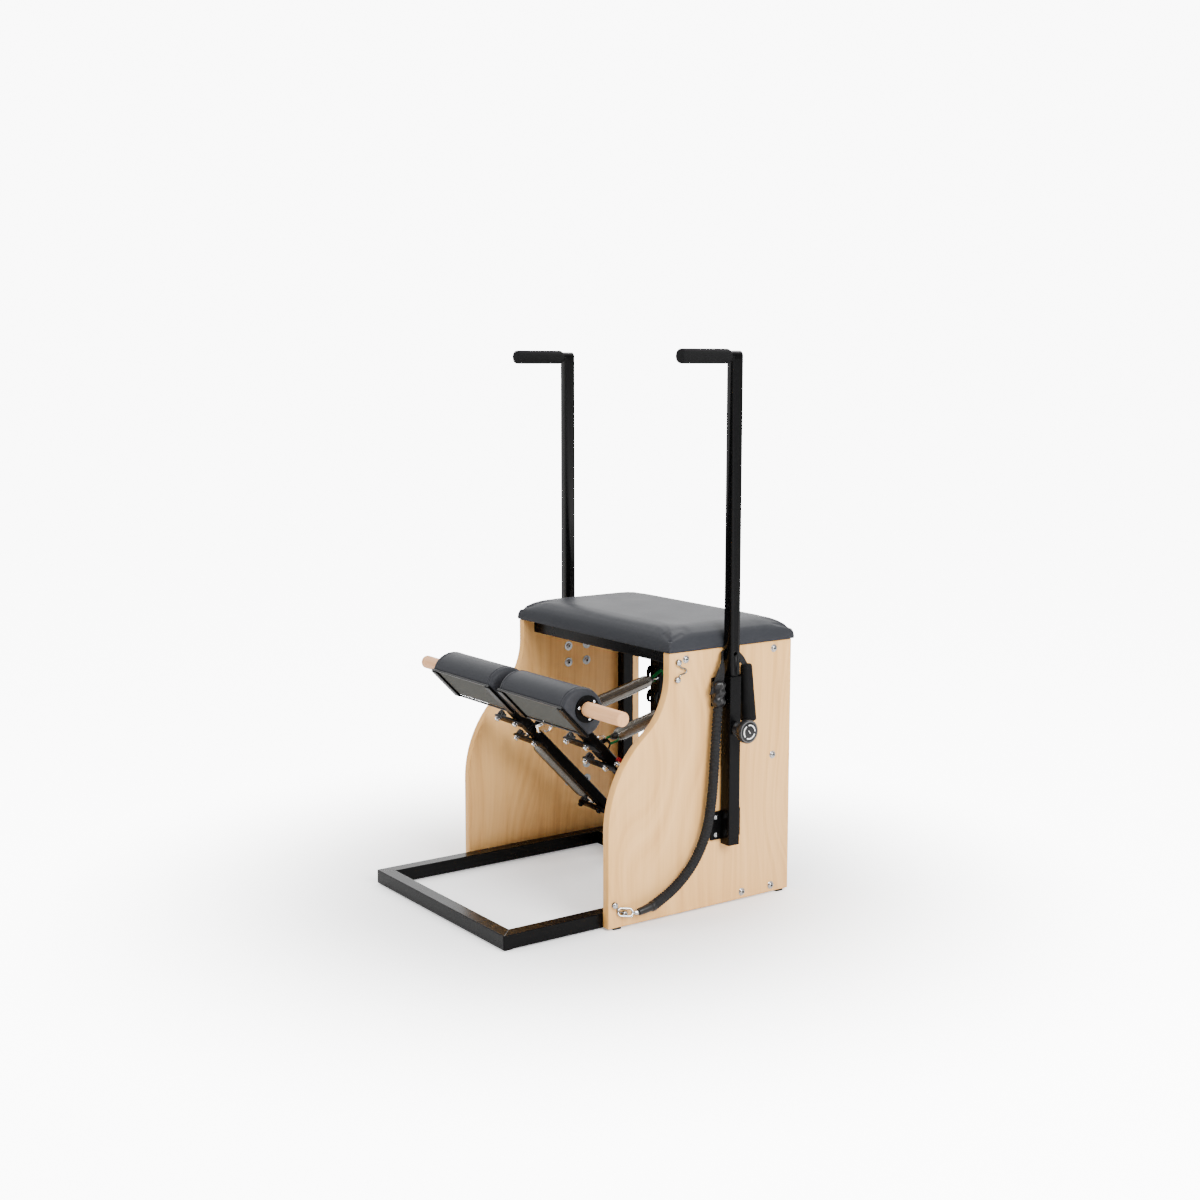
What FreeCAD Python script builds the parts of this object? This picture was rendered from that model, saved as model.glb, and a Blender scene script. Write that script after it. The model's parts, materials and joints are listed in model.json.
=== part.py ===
import FreeCAD, Part
import os
from math import cos, pi, radians, sin, sqrt, tan

os.makedirs("parts", exist_ok=True)
V = FreeCAD.Vector

# Lengths in mm. x is across the chair (right +), y from the panels' front edge to the back, z from the
# panels' underside; the last lines move the finished solids to the floor-centred frame.

# Clearances
RUN_GAP = 0.06
BOLT_GAP = 0.2
SEAT_GAP = 0.4

# Side panels
PANEL_INNER_X = 287.0
PANEL_T = 21.0
PANEL_DEPTH = 523.0
PANEL_H = 600.0
PANEL_TOP_SETBACK = 164.0
PANEL_TOP_STRAIGHT = 50.0
PANEL_UPPER_R = 130.0
PANEL_LOWER_R = 175.0
PANEL_SWEEP = 44.0
PANEL_ROUND = 2.0
PANEL_OUTER_X = PANEL_INNER_X + PANEL_T
PANEL_UPPER_TANGENT_Z = PANEL_H - PANEL_TOP_STRAIGHT

# Steel tube
TUBE = 32.0
WALL = 2.0
POST_W = 25.0
POST_D = 30.0

# Floor frame
FRAME_FRONT_Y = -257.0
PIVOT_BAR_Y = 365.0
REAR_PLANE_Y = 454.0
FRONT_RAIL_Y = 195.0
REAR_END_Y = REAR_PLANE_Y + POST_D

# Spring posts and hooks
SPRING_X = 113.0
HOOK_T = 6.0
HOOK_REACH = 13.0
HOOK_SLOT = 7.0
HOOK_H = 34.0
HOOK_BASE = 6.0
HOOK_BELOW_SEAT = 157.0
HOOK_TOP_Z = PANEL_H - HOOK_BELOW_SEAT
HOOK_PITCH = 61.0
HOOK_COUNT = 3
RING_SEAT = 3.2
STRIP_BELOW = 30.0

# Seat
SEAT_HALF_W = 312.0
SEAT_Y0 = 161.6
SEAT_Y1 = 527.7
SEAT_BOARD_T = 12.0
SEAT_BOARD_INSET = 14.0
SEAT_CORNER_R = 10.0
# height above the board's underside, inset from the widest outline
SEAT_SECTIONS = ((0.0, 5.0), (8.0, 1.0), (20.0, 0.0), (32.0, 3.0), (41.0, 10.0), (47.0, 24.0), (50.0, 60.0))

# Pedals
PIVOT_Y = PIVOT_BAR_Y + TUBE / 2
PIVOT_Z = 65.0
ARM_X = 150.0
ARM_REACH = 603.3
ARM_ANGLE = 45.7
ARM_TUBE = 25.0
ARM_EASE = 2.5
HUB_R = 17.0
HUB_HALF = 57.0
AXLE_R = 8.0
AXLE_HEAD_R = 12.0
AXLE_HEAD = 5.0
CHEEK_GAP = 1.0
CHEEK_T = 6.0
CHEEK_R = 22.0

# Pedal pads
PAD_HALF = 133.5
PAD_AXIS_H = 38.0
PAD_R = 57.0
PAD_CROWN_H = 82.0
PAD_BASE_HALF = 47.0
PAD_END_ROUND = 5.0
PAD_BOARD_T = 6.0
PAD_BOARD_MARGIN = 4.0
END_BAR_W = 22.0
END_BAR_T = 5.0
FLANGE_R = 30.0
FLANGE_T = 4.0

# Dowel
DOWEL_R = 16.0
DOWEL_HALF = 418.0
DOWEL_EASE = 3.0

# Spring bars: distance from the pivot, reach on the horned side
BAR_TO_DOWEL = 146.3
BAR_PITCH = 77.0
LOW_BAR_S = 105.0
BAR_HORN_SIDE = 92.0
LOW_BAR_HORN_SIDE = 88.0
BAR_PLAIN_SIDE = 50.0
TOP_BAR_S = ARM_REACH - BAR_TO_DOWEL
SPRING_BARS = ((TOP_BAR_S, BAR_HORN_SIDE), (TOP_BAR_S - BAR_PITCH, BAR_HORN_SIDE),
               (LOW_BAR_S, LOW_BAR_HORN_SIDE))
BAR_W = 30.0
BAR_T = 5.0
HORN_RISE = 20.0
HORN_LEN = 30.0
LUG_TO_TOP_BAR = 52.0
LUG_S = TOP_BAR_S - LUG_TO_TOP_BAR
LUG_N = 20.0
LUG_T = 6.0
LUG_HALF = 15.0
STUD_R = 4.0
STUD_HEAD_R = 7.0
STUD_HEAD = 4.0

# Facets of the small round pieces
FASTENER_SIDES = 6
NUT_SIDES = 6
RING_SIDES = 8
WIRE_SIDES = 4
SPRING_SIDES = 16

# Springs
COIL_R = 13.5
WIRE = 6.0
NOSE_R = 8.5
TAPER_TURNS = 2.0
WORK_TURNS = 8
RING_R = 15.0
RING_WIRE = 4.0
FRONT_SLACK = 4.8
STUD_PAST_RING = 1.5
STEM_R = 4.9
STEM_LEN = 10.0
PLUG_LEN = 14.0
PARKED_X = 38.0
PARKED_N = -6.0
PARKED_OUTER_R = COIL_R + WIRE / 2

# Handles
SLEEVE_TUBE = 30.0
SLEEVE_STANDOFF = 6.0
SLEEVE_LEN = 391.0
SLEEVE_BELOW_SEAT = 63.0
SLEEVE_Z1 = PANEL_H - SLEEVE_BELOW_SEAT
SLEEVE_Z0 = SLEEVE_Z1 - SLEEVE_LEN
HANDLE_Y = 326.0
HANDLE_POST = 25.0
GRIP_Z = 1250.0
GRIP_R = 16.5
GRIP_TUBE_R = 12.5
GRIP_TIP_Y = 170.0
GRIP_LEN = 138.0
GRIP_TUBE_REAR_Y = 350.0
GRIP_EASE = 4.0
LOCK_BELOW_SLEEVE = 118.5
LOCK_Z = SLEEVE_Z1 - LOCK_BELOW_SLEEVE
HANDLE_BELOW_LOCK = 30.5
HANDLE_BOTTOM_Z = LOCK_Z - HANDLE_BELOW_LOCK
HOLE_PITCH = 56.5
HOLE_COUNT = 4
HOLE_R = 4.5
PLATE_W = 85.0
PLATE_H = 65.0
PLATE_END_TOP = 36.0
PLATE_END_LOW = 43.0
PLATE_CENTRES_Z = (SLEEVE_Z0 + PLATE_END_LOW, SLEEVE_Z1 - PLATE_END_TOP)

# Locking knobs
PIN_R = 4.0
PIN_REST_GAP = 0.7
COLLAR_R = 11.0
COLLAR_LEN = 16.0
KNOB_R = 27.0
KNOB_NECK_R = 15.0
KNOB_FACE_OUT = 50.0
KNOB_DEPTH = 22.0
KNOB_ROUND = 4.0

# Bolts through the panels: y, z
RAIL_MID_Y = FRONT_RAIL_Y + TUBE / 2
REAR_MID_Y = REAR_PLANE_Y + POST_D / 2
BOLT_BELOW_SEAT = 17.0
BOLT_TOP_Z = PANEL_H - BOLT_BELOW_SEAT
BOLT_MID_Z = 331.0
BOLT_LOW_Z = TUBE / 2
BOLT_PLACES = ((RAIL_MID_Y, BOLT_TOP_Z), (REAR_MID_Y, BOLT_TOP_Z), (REAR_MID_Y, BOLT_MID_Z),
               (PIVOT_Y, BOLT_LOW_Z), (REAR_MID_Y, BOLT_LOW_Z))
BOLT_HEAD_R = 7.0
BOLT_HEAD = 5.0
WASHER_R = 9.0
WASHER_T = 1.5

# Cord anchors on the panels' outer faces: y, z of the two bolts, bulge of the wire
ANCHOR_BELOW_SEAT = (21.5, 60.4)
HIGH_ANCHOR = ((PANEL_TOP_SETBACK + 24.0, PANEL_H - ANCHOR_BELOW_SEAT[0]),
               (PANEL_TOP_SETBACK + 21.5, PANEL_H - ANCHOR_BELOW_SEAT[1]), -20.0)
LOW_ANCHOR = ((15.0, 54.0), (41.0, 30.0), 16.0)
ANCHORS = (HIGH_ANCHOR, LOW_ANCHOR)
ANCHOR_WIRE = 4.0
ANCHOR_POST_R = 4.0
ANCHOR_HEAD_R = 6.5
ANCHOR_STAND = 9.0

# Feet
FOOT_H = 4.0
FOOT_HALF = 10.0
FOOT_PANEL_Y = (25.0, 498.0)
FOOT_FRAME_Y = FRAME_FRONT_Y + TUBE / 2

# Resistance cord, hung on the right handle post
CORD_R = 12.0
CORD_X = 328.0
CORD_ROUTE = ((288.5, 470.0), (284.5, 420.0), (281.0, 365.0), (277.5, 305.0), (272.0, 250.0), (263.0, 200.0),
              (247.0, 157.0), (222.0, 117.0), (187.0, 83.0), (147.0, 57.0), (108.0, 40.0))
CORD_SIDES = 10
CORD_BEND = 0.45
COLLAR_CORD_R = 14.0
COLLAR_CORD_TOP = (290.0, 515.0)
FITTING_END = (66.0, 33.0)
FITTING_R0 = 9.0
FITTING_R1 = 6.0
STRAP_T = 2.5
STRAP_INNER_X = 310.0
STRAP_W = 23.0
STRAP_BELOW_SEAT = 6.0
STRAP_Z = (PANEL_H - STRAP_BELOW_SEAT - STRAP_W, PANEL_H - STRAP_BELOW_SEAT)
STRAP_FRONT_Y = 306.0
STRAP_REAR_Y = 343.0
HANDGRIP_TOP = (329.0, 369.0, 560.0)
HANDGRIP_LOW = (329.0, 392.0, 430.0)
HANDGRIP_TOP_R = 15.5
HANDGRIP_LOW_R = 18.0
SNAP_LEN = 48.0
SNAP_HALF_H = 11.0
SNAP_WIRE = 4.0

BOX_MID_Y = (FRAME_FRONT_Y + SEAT_Y1) / 2
nodes = {}


def keep(name, *solids):
    """Name a node and gather its solids."""
    nodes[name] = Part.makeCompound(list(solids)) if len(solids) > 1 else solids[0]


def box(x, y, z):
    """A box from three (low, high) pairs."""
    size = [pair[1] - pair[0] for pair in (x, y, z)]
    return Part.makeBox(size[0], size[1], size[2], V(x[0], y[0], z[0]))


def rod(start, end, radius):
    """A cylinder between two points."""
    line = V(*end) - V(*start)
    return Part.makeCylinder(radius, line.Length, V(*start), line)


def around(centre, half):
    return centre - half, centre + half


def square_tube(x, y, z, along, wall=WALL):
    """A square tube with open ends; along is the axis number that it runs on."""
    inner = [list(pair) for pair in (x, y, z)]
    for axis in range(3):
        step = -wall if axis == along else wall
        inner[axis] = (inner[axis][0] + step, inner[axis][1] - step)
    return box(x, y, z).cut(box(*inner))


def extrude(wire, vector):
    return Part.Face(wire).extrude(vector)


def mirrored(shape):
    return shape.mirror(V(0, 0, 0), V(1, 0, 0))


def polygon(sides, radius, centre, axis):
    """A regular wire round a centre, square to an axis."""
    start = axis.cross(V(1, 0, 0) if abs(axis.x) < 0.9 else V(0, 1, 0))
    start.normalize()
    side = axis.cross(start)
    side.normalize()
    turns = [2 * pi * (i + 0.5) / sides for i in range(sides + 1)]
    return Part.makePolygon([centre + (start * cos(t) + side * sin(t)) * radius for t in turns])


def prism(start, end, radius, sides=FASTENER_SIDES):
    """A many-sided bar between two points, for fasteners."""
    line = V(*end) - V(*start)
    across = radius / cos(pi / sides)
    axis = V(line)
    axis.normalize()
    return extrude(polygon(sides, across, V(*start), axis), line)


# Side panels
def panel_outline():
    """The S-curved outline in the plane x = 0: two arcs joined by a straight."""
    turn = radians(PANEL_SWEEP)
    half = turn / 2
    top_y = PANEL_TOP_SETBACK

    def upper(angle):
        back = PANEL_UPPER_R * (1 - cos(angle))
        return V(0, top_y - back, PANEL_UPPER_TANGENT_Z - PANEL_UPPER_R * sin(angle))

    upper_end = upper(turn)
    upper_mid = upper(half)
    lower_start_y = PANEL_LOWER_R * (1 - cos(turn))
    run = (upper_end.y - lower_start_y) / sin(turn)
    lower_start = V(0, lower_start_y, upper_end.z - run * cos(turn))
    lower_z = lower_start.z - PANEL_LOWER_R * sin(turn)
    lower_mid = V(0, PANEL_LOWER_R * (1 - cos(half)), lower_z + PANEL_LOWER_R * sin(half))
    upper_start = V(0, top_y, PANEL_UPPER_TANGENT_Z)
    lower_end = V(0, 0, lower_z)
    corners = [lower_end, V(0, 0, 0), V(0, PANEL_DEPTH, 0), V(0, PANEL_DEPTH, PANEL_H), V(0, top_y, PANEL_H),
               upper_start]
    edges = [Part.makeLine(a, b) for a, b in zip(corners, corners[1:])]
    edges.append(Part.Arc(upper_start, upper_mid, upper_end).toShape())
    edges.append(Part.makeLine(upper_end, lower_start))
    edges.append(Part.Arc(lower_start, lower_mid, lower_end).toShape())
    return Part.Wire(edges)


def make_panels():
    plain = extrude(panel_outline(), V(PANEL_T, 0, 0))
    plain.translate(V(PANEL_INNER_X, 0, 0))
    eased = plain.makeChamfer(PANEL_ROUND, [e for e in plain.Edges if is_face_edge(e)])
    keep("right_side_panel", eased)
    keep("left_side_panel", mirrored(eased))


def is_face_edge(edge):
    """An edge of the outer broad face."""
    return all(abs(vertex.X - PANEL_OUTER_X) < BOLT_GAP for vertex in edge.Vertexes)


# Floor frame, posts and rails
def make_frame():
    left = (-PANEL_INNER_X, -PANEL_INNER_X + TUBE)
    height = (0, TUBE)
    depth = (FRAME_FRONT_Y, REAR_END_Y)
    corner = Part.makePolygon([V(left[0], depth[0], 0), V(left[1], depth[0] + TUBE, 0),
                               V(left[1], depth[0], 0), V(left[0], depth[0], 0)])
    mitre = extrude(corner, V(0, 0, TUBE))
    rail = square_tube(left, depth, height, 1).cut(mitre)
    keep("left_floor_rail", rail)
    keep("right_floor_rail", mirrored(rail))
    outer = Part.makePolygon([V(left[0], depth[0], 0), V(left[1], depth[0] + TUBE, 0),
                              V(left[0], depth[0] + TUBE, 0), V(left[0], depth[0], 0)])
    off_end = extrude(outer, V(0, 0, TUBE))
    front = square_tube((-PANEL_INNER_X, PANEL_INNER_X), around(depth[0] + TUBE / 2, TUBE / 2), height, 0)
    keep("front_floor_bar", front.cut([off_end, mirrored(off_end)]))
    between = (left[1], -left[1])
    keep("pivot_bar", square_tube(between, (PIVOT_BAR_Y, PIVOT_BAR_Y + TUBE), height, 0))
    keep("rear_floor_bar", square_tube(between, (REAR_PLANE_Y, REAR_END_Y), height, 0))

    plane = (REAR_PLANE_Y, REAR_END_Y)
    upright = square_tube((PANEL_INNER_X - POST_W, PANEL_INNER_X), plane, (TUBE, PANEL_H), 2)
    keep("uprights", upright, mirrored(upright))
    top = (PANEL_H - TUBE, PANEL_H)
    inner = PANEL_INNER_X - POST_W
    keep("rear_top_rail", square_tube((-inner, inner), plane, top, 0))
    front_rail = square_tube((-PANEL_INNER_X, PANEL_INNER_X), (FRONT_RAIL_Y, FRONT_RAIL_Y + TUBE), top, 0)
    keep("front_top_rail", front_rail)
    post_x = SPRING_X + HOOK_T / 2
    post = square_tube((post_x, post_x + POST_W), plane, (TUBE, top[0]), 2)
    keep("spring_posts", post, mirrored(post))


def hook_strip(x0):
    """A strip on the side of a spring post with a row of upright hooks welded to its front edge."""
    x = (x0, x0 + HOOK_T)
    low = HOOK_TOP_Z - HOOK_PITCH * (HOOK_COUNT - 1)
    solids = [box(x, (REAR_PLANE_Y, REAR_END_Y), (low - STRIP_BELOW, HOOK_TOP_Z + HOOK_H + STRIP_BELOW))]
    front = REAR_PLANE_Y - HOOK_REACH
    finger = HOOK_REACH - HOOK_SLOT
    for i in range(HOOK_COUNT):
        z = low + HOOK_PITCH * i
        solids.append(box(x, (front + finger, REAR_PLANE_Y), (z, z + HOOK_BASE)))
        bar = box(x, (front, front + finger), (z, z + HOOK_H))
        rounded = [e for e in bar.Edges if e.Length < HOOK_T + BOLT_GAP
                   and all(abs(vertex.Y - front) < BOLT_GAP for vertex in e.Vertexes)]
        solids.append(bar.makeChamfer(finger / 2, rounded))
    return solids


def make_hooks():
    inner = hook_strip(SPRING_X - HOOK_T / 2)
    outer = hook_strip(SPRING_X + HOOK_T / 2 + POST_W)
    right = inner + outer
    keep("hook_strips", *(right + [mirrored(s) for s in right]))


# Seat
def rounded_rectangle(inset, z):
    """A rounded outline of the seat at one height, from lines and quarter arcs."""
    x = SEAT_HALF_W - inset
    y0 = SEAT_Y0 + inset
    y1 = SEAT_Y1 - inset
    r = SEAT_CORNER_R
    cut = r * (1 - sqrt(0.5))
    edges = []
    start = V(-x + r, y0, z)
    legs = ((V(x - r, y0, z), V(x - cut, y0 + cut, z), V(x, y0 + r, z)),
            (V(x, y1 - r, z), V(x - cut, y1 - cut, z), V(x - r, y1, z)),
            (V(-x + r, y1, z), V(-x + cut, y1 - cut, z), V(-x, y1 - r, z)),
            (V(-x, y0 + r, z), V(-x + cut, y0 + cut, z), V(-x + r, y0, z)))
    for arc_start, arc_mid, arc_end in legs:
        edges.append(Part.makeLine(start, arc_start))
        edges.append(Part.Arc(arc_start, arc_mid, arc_end).toShape())
        start = arc_end
    return Part.Wire(edges)


def make_seat():
    inset = SEAT_BOARD_INSET
    board = box(around(0, SEAT_HALF_W - inset), (SEAT_Y0 + inset, SEAT_Y1 - inset),
                (PANEL_H, PANEL_H + SEAT_BOARD_T))
    keep("seat_board", board)
    wires = [rounded_rectangle(offset, PANEL_H + height) for height, offset in SEAT_SECTIONS]
    keep("seat_cushion", Part.makeLoft(wires, True, True).cut(board))


# Pedal pivots
def make_pivots():
    x0 = HUB_HALF + CHEEK_GAP
    hole = prism((0, PIVOT_Y, PIVOT_Z), (2 * ARM_X, PIVOT_Y, PIVOT_Z), AXLE_R + RUN_GAP)
    cheeks = []
    for low in (ARM_X - x0 - CHEEK_T, ARM_X + x0):
        round_top = rod((low, PIVOT_Y, PIVOT_Z), (low + CHEEK_T, PIVOT_Y, PIVOT_Z), CHEEK_R)
        leg = box((low, low + CHEEK_T), around(PIVOT_Y, CHEEK_R), (TUBE, PIVOT_Z))
        cheeks.append(round_top.fuse(leg).removeSplitter().cut(hole))
    keep("pivot_cheeks", *(cheeks + [mirrored(c) for c in cheeks]))
    reach = x0 + CHEEK_T
    ends = (ARM_X - reach - AXLE_HEAD, ARM_X - reach, ARM_X + reach, ARM_X + reach + AXLE_HEAD)
    head, near, far, tail = [(x, PIVOT_Y, PIVOT_Z) for x in ends]
    heads = [prism(head, near, AXLE_HEAD_R, NUT_SIDES), prism(far, tail, AXLE_HEAD_R, NUT_SIDES)]
    axle = rod(near, far, AXLE_R).fuse(heads)
    keep("pivot_axles", axle, mirrored(axle))


# Pedals are drawn flat, the arm along -y from the pivot at the origin, and then tilted up
def tilt(shape):
    shape.rotate(V(0, 0, 0), V(1, 0, 0), -ARM_ANGLE)
    shape.translate(V(ARM_X, PIVOT_Y, PIVOT_Z))
    return shape


def keep_pedal(name, *solids):
    right = [tilt(s) for s in solids]
    keep("right_" + name, *right)
    keep("left_" + name, *[mirrored(s) for s in right])


def make_arm():
    half = ARM_TUBE / 2
    end = ARM_REACH - DOWEL_R - SEAT_GAP
    tube = box(around(0, half), (-end, 0), around(0, half))
    tube = tube.makeChamfer(ARM_EASE, [e for e in tube.Edges if e.Length > 2 * ARM_TUBE])
    hub = rod((-HUB_HALF, 0, 0), (HUB_HALF, 0, 0), HUB_R)
    lug = box((-half - LUG_T, -half), around(-LUG_S, LUG_HALF), (-half, LUG_N))
    lug = lug.fuse(rod((-half - LUG_T, -LUG_S, LUG_N), (-half, -LUG_S, LUG_N), LUG_HALF))
    hollow = box(around(0, half - WALL), (-end + WALL, -HUB_R), around(0, half - WALL))
    axle = rod((-HUB_HALF - 1, 0, 0), (HUB_HALF + 1, 0, 0), AXLE_R + RUN_GAP)
    stud = prism((-ARM_TUBE, -LUG_S, LUG_N), (0, -LUG_S, LUG_N), STUD_R + BOLT_GAP)
    arm = tube.fuse([hub, lug]).removeSplitter().cut([hollow, axle, stud])
    keep_pedal("pedal_arm", arm)


def pad_section(inset, x):
    """The half-round section: flat base, two drawn-in sides and a round top in two arcs."""
    r = PAD_R - inset
    z0 = -PAD_AXIS_H
    mid_z = z0 + PAD_CROWN_H - PAD_R
    base = PAD_BASE_HALF - inset
    side_r = ((r - base) ** 2 + (mid_z - z0) ** 2) / (2 * (r - base))
    swing = (mid_z - z0) / side_r / 2
    side_y = r - side_r * (1 - cos(swing))
    side_z = mid_z - side_r * sin(swing)
    lift = r * sqrt(0.5)

    def at(y, z):
        return V(x, y - ARM_REACH, z)

    return Part.Wire([
        Part.makeLine(at(-base, z0), at(base, z0)),
        Part.Arc(at(base, z0), at(side_y, side_z), at(r, mid_z)).toShape(),
        Part.Arc(at(r, mid_z), at(lift, mid_z + lift), at(0, mid_z + r)).toShape(),
        Part.Arc(at(0, mid_z + r), at(-lift, mid_z + lift), at(-r, mid_z)).toShape(),
        Part.Arc(at(-r, mid_z), at(-side_y, side_z), at(-base, z0)).toShape()])


def make_pad():
    ends = ((-PAD_HALF, PAD_END_ROUND), (-PAD_HALF + PAD_END_ROUND, 0), (PAD_HALF - PAD_END_ROUND, 0),
            (PAD_HALF, PAD_END_ROUND))
    blank = Part.makeLoft([pad_section(inset, x) for x, inset in ends], True, True)
    half = ARM_TUBE / 2 + SEAT_GAP
    arm_slot = box(around(0, half), (-ARM_REACH, -ARM_REACH + 2 * PAD_R), around(0, half))
    bore = rod((-PAD_HALF - 1, -ARM_REACH, 0), (PAD_HALF + 1, -ARM_REACH, 0), DOWEL_R + SEAT_GAP)
    width = PAD_BASE_HALF - PAD_BOARD_MARGIN
    board = box(around(0, PAD_HALF - PAD_BOARD_MARGIN), around(-ARM_REACH, width),
                (-PAD_AXIS_H, -PAD_AXIS_H + PAD_BOARD_T))
    keep_pedal("pad", blank.cut([arm_slot, bore, board]))
    bars = []
    flanges = []
    for side in (-1, 1):
        end = side * PAD_HALF
        x = sorted((end, end - side * END_BAR_W))
        bars.append(box(x, around(-ARM_REACH, PAD_BASE_HALF), (-PAD_AXIS_H - END_BAR_T, -PAD_AXIS_H)))
        face = end + side * FLANGE_T
        disc = rod((end, -ARM_REACH, 0), (face, -ARM_REACH, 0), FLANGE_R)
        flanges.append(disc.cut(rod((end, -ARM_REACH, 0), (face, -ARM_REACH, 0), DOWEL_R + SEAT_GAP)))
    keep_pedal("pad_board", board)
    keep_pedal("pad_irons", *(bars + flanges))


def spring_bar(distance, reach):
    """A flat bar under the arm; its left end rises to a curved horn, its right end is short and plain."""
    z = -ARM_TUBE / 2
    horn = reach - HORN_LEN
    tip = z + HORN_RISE
    drop = HORN_RISE / 4
    profile = Part.Wire([
        Part.makeLine(V(-reach, 0, z - BAR_T), V(BAR_PLAIN_SIDE, 0, z - BAR_T)),
        Part.makeLine(V(BAR_PLAIN_SIDE, 0, z - BAR_T), V(BAR_PLAIN_SIDE, 0, z)),
        Part.makeLine(V(BAR_PLAIN_SIDE, 0, z), V(-horn, 0, z)),
        Part.Arc(V(-horn, 0, z), V(-horn - HORN_LEN / 2, 0, z + drop), V(-reach, 0, tip)).toShape(),
        Part.makeLine(V(-reach, 0, tip), V(-reach, 0, z - BAR_T))])
    solid = extrude(profile, V(0, BAR_W, 0))
    solid.translate(V(0, -distance - BAR_W / 2, 0))
    return solid


def make_spring_bars():
    bars = [spring_bar(*size) for size in SPRING_BARS]
    half = ARM_TUBE / 2
    reach = ARM_X - SPRING_X + RING_WIRE / 2 + STUD_PAST_RING
    near = (-half + STUD_HEAD, -LUG_S, LUG_N)
    plate = (-half, -LUG_S, LUG_N)
    far = (-reach, -LUG_S, LUG_N)
    tip = (-reach - STUD_HEAD, -LUG_S, LUG_N)
    studs = [prism(far, plate, STUD_R).fuse([prism(plate, near, STUD_HEAD_R), prism(tip, far, STUD_HEAD_R)])]
    for distance, _ in SPRING_BARS[1:]:
        low = (PARKED_X, -distance, -half)
        high = (PARKED_X, -distance, PARKED_N + RING_WIRE)
        cap = (PARKED_X, -distance, PARKED_N + RING_WIRE + STUD_HEAD)
        studs.append(prism(low, high, STUD_R).fuse(prism(high, cap, STUD_HEAD_R)))
    right = [tilt(bar) for bar in bars]
    left = [bar.copy() for bar in right]
    for bar in left:
        bar.translate(V(-2 * ARM_X, 0, 0))
    keep("right_spring_bars", *right)
    keep("left_spring_bars", *left)
    keep_pedal("spring_studs", *studs)


def flat_ring(centre, axis):
    """An eight-sided link."""
    start = centre - axis * (RING_WIRE / 2)
    end = centre + axis * (RING_WIRE / 2)
    outer = prism(start, end, RING_R + RING_WIRE / 2, RING_SIDES)
    return outer.cut(prism(start, end, RING_R - RING_WIRE / 2, RING_SIDES))


def ring_with_stem(hook, line, normal):
    """A link held at a hook point, with the stem that holds the spring's nose along a line."""
    edge = hook + line * (2 * RING_R)
    stem = prism(edge, edge + line * (STEM_LEN + PLUG_LEN), STEM_R, RING_SIDES)
    return flat_ring(hook + line * RING_R, normal).fuse(stem).removeSplitter()


def make_parked_springs():
    line = V(0, 1, 0)
    play = STUD_R + RING_WIRE / 2 + SEAT_GAP
    upper = V(PARKED_X, -SPRING_BARS[1][0] - play, PARKED_N)
    lower = V(PARKED_X, -SPRING_BARS[2][0] + play, PARKED_N)
    up_normal = V(0, 0, 1)
    rings = [ring_with_stem(upper, line, up_normal), ring_with_stem(lower, -line, up_normal)]
    keep_pedal("parked_rings", *rings)
    start = 2 * RING_R + STEM_LEN
    taper = COIL_R * 2
    y0 = upper.y + start
    y1 = lower.y - start
    bands = ((y0, NOSE_R), (y0 + taper, PARKED_OUTER_R), (y1 - taper, PARKED_OUTER_R), (y1, NOSE_R))
    wires = [polygon(SPRING_SIDES, r, V(PARKED_X, y, PARKED_N), line) for y, r in bands]
    bore = STEM_R + SEAT_GAP
    hollow = prism((PARKED_X, y0, PARKED_N), (PARKED_X, y1, PARKED_N), bore, RING_SIDES)
    keep_pedal("parked_spring", Part.makeLoft(wires, True, True).cut(hollow))


# Working springs, from a hook on the spring post to the stud on the pedal arm
def work_line():
    """Hook point, stud point, direction and length of the right working spring."""
    hook = V(SPRING_X, REAR_PLANE_Y - HOOK_SLOT / 2, HOOK_TOP_Z + HOOK_BASE + RING_SEAT)
    a = radians(ARM_ANGLE)
    stud = V(SPRING_X, PIVOT_Y - LUG_S * cos(a) + LUG_N * sin(a), PIVOT_Z + LUG_S * sin(a) + LUG_N * cos(a))
    line = stud - hook
    length = line.Length
    line.normalize()
    return hook, stud, line, length


def biarc(p0, t0, p1, t1):
    """Two arcs that leave p0 along t0 and reach p1 along t1."""
    chord = p1 - p0
    both = t0 + t1
    a = 2 * (1 - t0.dot(t1))
    b = 2 * chord.dot(both)
    d = (-b + sqrt(b * b + 4 * a * chord.dot(chord))) / (2 * a)
    join = (p0 + p1 + (t0 - t1) * d) * 0.5
    return [arc_from(p0, t0, join), arc_from(join, (p1 - t1 * d - join), p1)]


def arc_from(start, tangent, end):
    """The arc that leaves a point along a tangent and ends at another point."""
    tangent = V(tangent)
    tangent.normalize()
    chord = end - start
    side = chord - tangent * chord.dot(tangent)
    half_turn = side.Length / chord.Length
    side.normalize()
    cosine = sqrt(1 - half_turn * half_turn)
    rise = chord.Length / 2 * half_turn / (1 + cosine)
    across = tangent * half_turn - side * cosine
    return Part.Arc(start, start + chord * 0.5 + across * rise, end).toShape()


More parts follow.
